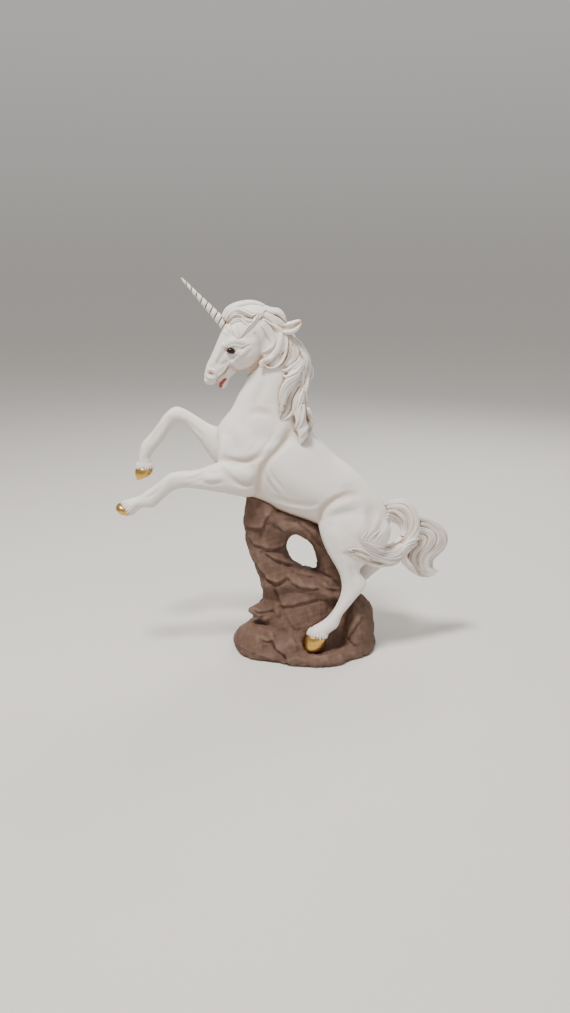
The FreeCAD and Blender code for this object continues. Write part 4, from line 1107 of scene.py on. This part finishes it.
def hoof(name, top, down, half_length, half_width):
    """A gold hoof and its fringe."""
    mass = Clay(melted((name,), HOOF_VOXEL))
    mass.relax(14, inward=0.4)
    mass.push(0.03 * ripple(mass.points * np.array((1, 1, 0.2)), wavelength=3.0, seed=3))
    mass.store()
    piece("gold_" + name, mass.mesh, gold_finish, "gold_paint", name)
    down = np.array(down) / np.linalg.norm(down)
    ahead = np.array((1.0, 0.0, 0.0)) - down * down[0]
    ahead /= np.linalg.norm(ahead)
    side = np.cross(down, ahead)
    random = np.random.default_rng(len(name))
    work = bmesh.new()
    for index in range(FRINGE_LOCKS):
        angle = 2 * math.pi * index / FRINGE_LOCKS + random.uniform(-FRINGE_JITTER, FRINGE_JITTER)
        out = ahead * math.cos(angle) * half_length + side * math.sin(angle) * half_width
        line = (FRINGE_ROOT, FRINGE_MIDDLE, (FRINGE_TIP, random.uniform(0.0, FRINGE_DROP)))
        path = curve_through([top + out * share + down * drop for share, drop in line], FRINGE_RINGS)
        lock_mesh(work, path, out, random.uniform(*FRINGE_WIDTHS), FRINGE_THICK, ridges=1, root=0.8, sink=0.6)
    finish_hair(work, name.replace("hoof", "fringe"))


for name, form in HOOVES.items():
    hoof(name, *form)


# Tongue

TONGUE_LINE = ((-73.0, 0, 268.0), (-76.6, 0, 264.5), (-79.0, 0, 260.5), (-79.6, 0, 256.8))
TONGUE_FACING = (-0.80, 0.0, 0.60)
TONGUE_RINGS, TONGUE_WIDTH, TONGUE_THICK = 24, 13.8, 3.0


def tongue():
    """A tongue with a shallow dish, which hangs out of the open mouth."""
    path = curve_through(TONGUE_LINE, TONGUE_RINGS)
    work = bmesh.new()
    lock_mesh(work, path, TONGUE_FACING, TONGUE_WIDTH, TONGUE_THICK,
              ridges=0, sink=0.4, dish=0.25, tip=0.25)
    piece("red_tongue", closed_mesh(work, "red_tongue"), tongue_finish, "tongue_paint", "tongue")


tongue()


# Rock

ROCK_NODES = ("rock_base", "rock_pillar_foot", "rock_slab", "rock_pillar", "rock_arch", "rock_spur",
              "rock_front_left_boulder", "rock_front_ridge", "rock_right_boulder", "rock_back_boulder")
# Both tables: points, radius, height. A ledge lifts the rock on the left of the way that it is drawn.
LEDGES = (
    ([(160, 362), (240, 385), (320, 392), (350, 350), (365, 290), (400, 240)], 14, 2.6),
    ([(155, 470), (220, 530), (290, 575)], 12, 2.0),
    ([(320, 575), (400, 600), (480, 580), (545, 530), (590, 450)], 14, 2.8),
    ([(430, 370), (500, 400), (570, 420), (620, 420), (680, 400)], 9, 2.0),
    ([(320, 620), (420, 690), (520, 730), (635, 765)], 12, 2.2),
    ([(190, 600), (290, 760), (370, 880), (460, 940), (560, 905)], 14, 3.0),
    ([(560, 880), (650, 960), (760, 990), (880, 995)], 11, 2.0),
    ([(640, 820), (740, 860), (830, 870)], 8, 1.5),
    ([(850, 880), (950, 980), (1060, 1010), (1110, 990)], 12, 2.4),
    ([(480, 1160), (600, 1170), (720, 1135), (840, 1110), (960, 1100)], 11, 1.8),
    ([(450, 960), (480, 1060), (510, 1150)], 9, 1.6),
    ([(200, 1150), (250, 1215), (330, 1230), (420, 1215)], 8, 2.0),
    ([(380, 1440), (450, 1560), (540, 1660), (590, 1740)], 12, 2.4),
    ([(295, 1490), (350, 1520), (420, 1520)], 8, 1.4),
    ([(60, 1540), (150, 1600), (300, 1660), (420, 1700)], 10, 1.2),
    ([(760, 1660), (860, 1690), (1000, 1660), (1150, 1600), (1240, 1560)], 10, 1.4),
    ([(1180, 1500), (1260, 1380), (1330, 1290)], 12, 2.0),
)
CRACKS = (
    ([(160, 362), (240, 385), (320, 392), (350, 350), (360, 300)], 1.9, -2.0),
    ([(350, 355), (400, 345), (440, 350)], 1.5, -1.2),
    ([(310, 390), (305, 470), (290, 560)], 1.7, -1.5),
    ([(320, 578), (400, 600), (480, 580), (545, 530), (600, 440)], 2.4, -2.4),
    ([(440, 372), (520, 402), (600, 420)], 2.4, -2.4),
    ([(150, 470), (220, 530), (290, 575)], 1.9, -2.0),
    ([(330, 620), (420, 690), (520, 730), (635, 765)], 1.9, -2.0),
    ([(200, 610), (290, 760), (370, 880), (460, 942), (560, 908)], 2.4, -2.4),
    ([(440, 940), (465, 1030), (495, 1160), (505, 1240), (490, 1300)], 2.0, -2.0),
    ([(570, 880), (650, 960), (760, 990), (880, 998)], 1.9, -2.0),
    ([(640, 822), (740, 862), (830, 872)], 1.7, -1.6),
    ([(880, 1000), (885, 1060), (880, 1100)], 1.5, -1.2),
    ([(510, 1172), (600, 1172), (720, 1138), (840, 1110), (960, 1098)], 1.9, -2.0),
    ([(860, 880), (950, 980), (1060, 1012)], 1.9, -1.8),
    ([(200, 1160), (260, 1225), (340, 1228), (420, 1216)], 1.9, -1.8),
    ([(330, 1080), (420, 1090), (490, 1120)], 1.6, -1.3),
    ([(370, 1430), (440, 1550), (530, 1650), (590, 1750)], 2.2, -2.2),
    ([(300, 1492), (350, 1522), (420, 1520)], 1.6, -1.4),
    ([(260, 1300), (330, 1270), (400, 1240)], 1.6, -1.2),
    ([(520, 1180), (560, 1290), (650, 1420), (700, 1400)], 1.8, -1.2),
    ([(700, 1140), (760, 1240), (790, 1330)], 1.6, -1.0),
    ([(900, 1100), (920, 1200), (930, 1260)], 1.5, -0.9),
    ([(1180, 1500), (1250, 1380), (1320, 1290)], 2.2, -2.2),
    ([(1240, 1560), (1180, 1500), (1150, 1420)], 1.8, -1.4),
    ([(640, 1400), (660, 1500), (700, 1640), (720, 1740)], 2.0, -1.4),
    ([(740, 760), (700, 800), (640, 810)], 1.6, -1.0),
    ([(820, 790), (900, 840), (1000, 880), (1080, 960)], 2.0, -1.8),
    ([(560, 300), (660, 310), (760, 400), (860, 500), (920, 560)], 2.2, -1.8),
)


ROCK_VOXEL = 1.05
# The far side, which the photo doesn't show, starts beyond this y and is full this much farther on
FAR_FROM, FAR_FULL = -6, 14
# What lies lower than this is the flat underside; blocks reach their full relief at a height of BLOCKS_FULL
UNDERSIDE, BLOCKS_FULL = 0.25, 6
# Blocks of the far side: seed of the draws, number, and how far their borders wander over what length
BLOCK_SEED, BLOCKS, BLOCK_WANDER, BLOCK_WANDER_LENGTH = 21, 70, 5, 38
# How far a block is lifted or sunk, how far its face is flattened at most, and the slope at its border
BLOCK_LIFT, BLOCK_FLATTENING, BLOCK_SLOPE = 1.4, 2.2, 3.2
BLOCK_CRACK_WIDTH, BLOCK_CRACK_DEPTH = 1.5, 2.0
# Blocks with fewer points than this, or that bend more than this, aren't flattened
FEWEST_POINTS, LEAST_FACING = 30, 0.55
# Cracks of the table are widened by this
CRACK_WIDENING = 1.35
# Strength of the paint on edges, and how often its measure is spread
EDGE_GAIN, EDGE_SPREADS = 16, 8


def flatten(clay, own, normal, edge, weight):
    """Draws the points of one block towards their mean plane."""
    facing = normal[own].mean(0)
    if np.linalg.norm(facing) < LEAST_FACING:
        return
    facing /= np.linalg.norm(facing)
    height = (clay.points[own] - clay.points[own].mean(0)) @ facing
    move = np.clip(-0.5 * height, -BLOCK_FLATTENING, BLOCK_FLATTENING) * np.clip(normal[own] @ facing, 0, 1)
    move *= np.clip(edge[own] / 4, 0, 1) * weight[own]
    clay.points[own] += facing * move[:, None]


def blocks(clay, weight):
    """Breaks a surface into weathered blocks with cracks between them."""
    random = np.random.default_rng(BLOCK_SEED)
    seeds = random.uniform(clay.points.min(0), clay.points.max(0), size=(BLOCKS, 3))
    wander = [ripple(clay.points, BLOCK_WANDER_LENGTH, BLOCK_SEED + axis) for axis in range(3)]
    warped = clay.points + BLOCK_WANDER * np.stack(wander, axis=1)
    first = np.full(clay.count, 1e9)
    second = np.full(clay.count, 1e9)
    owner = np.zeros(clay.count, int)
    for index, spot in enumerate(seeds):
        distance = np.linalg.norm((warped - spot) * np.array((1.0, 1.0, 0.7)), axis=1)
        nearer = distance < first
        second = np.where(nearer, first, np.minimum(second, distance))
        first = np.where(nearer, distance, first)
        owner[nearer] = index
    edge = second - first
    normal = clay.normals()
    lift = random.uniform(-BLOCK_LIFT, BLOCK_LIFT, size=BLOCKS)[owner]
    for index in range(BLOCKS):
        own = np.flatnonzero((owner == index) & (weight > 0.02))
        if len(own) >= FEWEST_POINTS:
            flatten(clay, own, normal, edge, weight)
    inside = np.clip(edge / BLOCK_SLOPE, 0, 1)
    crack = np.exp(-(edge / BLOCK_CRACK_WIDTH) ** 2)
    clay.points += normal * ((lift * inside - BLOCK_CRACK_DEPTH * crack) * weight)[:, None]


rock = Clay(melted(ROCK_NODES, ROCK_VOXEL))
rock.relax(26, out=0.7, inward=0.08)
rock.relax(14)
ground = rock.points[:, 2] < UNDERSIDE
rock_surface = rock.tree()
far_side = np.clip((rock.points[:, 1] - FAR_FROM) / FAR_FULL, 0, 1)
blocks(rock, far_side * np.clip(rock.points[:, 2] / BLOCKS_FULL, 0, 1))
for points, radius, height in LEDGES:
    rock.ledge(trace(rock_surface, ROCK, points), radius, height)
for points, radius, height in CRACKS:
    rock.stroke(trace(rock_surface, ROCK, points), CRACK_WIDENING * radius, height, fade=False)
rock.relax(2, out=0.4, inward=0.4)
coarse, fine = ripple(rock.points, wavelength=14, seed=31), ripple(rock.points, wavelength=5, seed=32)
rock.push(0.45 * coarse + 0.22 * fine)
rock.points[:, 2] = np.where(ground, 0.0, np.maximum(rock.points[:, 2], 0.0))
bend = dots(rock.points - rock.spread(rock.points), rock.normals())
for _ in range(EDGE_SPREADS):
    bend = rock.spread(bend)
rock.store()
point_layer(rock.mesh, "edge", np.clip(bend * EDGE_GAIN, 0, 1))
piece("rock_body", rock.mesh, rock_finish, "rock_paint", *ROCK_NODES)


# Floor, light and camera. Floor and lamps are given in metres.

FLOOR_HALF_WIDTH = 30.0
# The sky at the horizon, which is as bright as the far floor, and from a share of its height up
SKY = ((0.0, (0.665, 0.630, 0.590)), (0.30, (0.94, 0.925, 0.90)))
SKY_STRENGTH = 0.54
# Round lamps: name, place, what they are turned to, width, watts and colour
LAMPS = (
    ("key", (-0.35, -0.42, 1.38), (0, 0, 0.18), 0.30, 27.0, (1.0, 0.965, 0.92)),
    ("fill", (0.95, -0.85, 0.45), (0, 0, 0.18), 0.9, 1.4, (0.96, 0.97, 1.0)),
    ("back", (0.45, 0.90, 0.95), (0, 0, 0.2), 0.6, 8.0, (1.0, 0.97, 0.94)),
)
SENSOR = 36.0


def lay_floor():
    """A pale matte floor, which isn't part of the object."""
    work = bmesh.new()
    bmesh.ops.create_grid(work, x_segments=2, y_segments=2, size=FLOOR_HALF_WIDTH)
    floor = put("floor", mesh_from(work, "floor"))
    finish = Finish("floor", Specular_IOR_Level=0.2)
    finish.colour(finish.mix(finish.noise(60, 2), (0.69, 0.665, 0.63), (0.71, 0.685, 0.65)))
    finish.rough(0.85, 0.95, finish.noise(40, 2))
    floor.data.materials.append(finish.material)


def open_sky():
    """A sky that brightens above the horizon."""
    world = bpy.data.worlds.new("studio")
    world.use_nodes = True
    sky = world.node_tree.nodes
    height = sky.new("ShaderNodeSeparateXYZ")
    fade = sky.new("ShaderNodeValToRGB")
    for stop, (position, colour) in zip(fade.color_ramp.elements, SKY):
        stop.position = position
        stop.color = (*colour, 1)
    link = world.node_tree.links.new
    link(sky.new("ShaderNodeTexCoord").outputs["Generated"], height.inputs["Vector"])
    link(height.outputs["Z"], fade.inputs["Fac"])
    link(fade.outputs["Color"], sky["Background"].inputs["Color"])
    sky["Background"].inputs["Strength"].default_value = SKY_STRENGTH
    bpy.context.scene.world = world


def hang_lamp(name, place, aim, width, watts, colour):
    """A round lamp turned towards its aim."""
    lamp = bpy.data.lights.new(name, "AREA")
    lamp.shape = "DISK"
    lamp.size = width
    lamp.energy = watts
    lamp.color = colour
    stand = put(name, lamp)
    stand.location = place
    stand.rotation_euler = (Vector(aim) - Vector(place)).to_track_quat("-Z", "Y").to_euler()


def set_camera():
    """The camera of the photo, as the scene camera."""
    camera = bpy.data.cameras.new("camera")
    camera.sensor_width = SENSOR
    camera.lens = FOCAL_PIXELS / IMAGE[1] * SENSOR
    stand = put("camera", camera)
    stand.location = CAMERA * MM
    stand.rotation_euler = (math.pi / 2 - CAMERA_PITCH, 0, 0)
    bpy.context.scene.camera = stand


lay_floor()
open_sky()
for lamp in LAMPS:
    hang_lamp(*lamp)
set_camera()
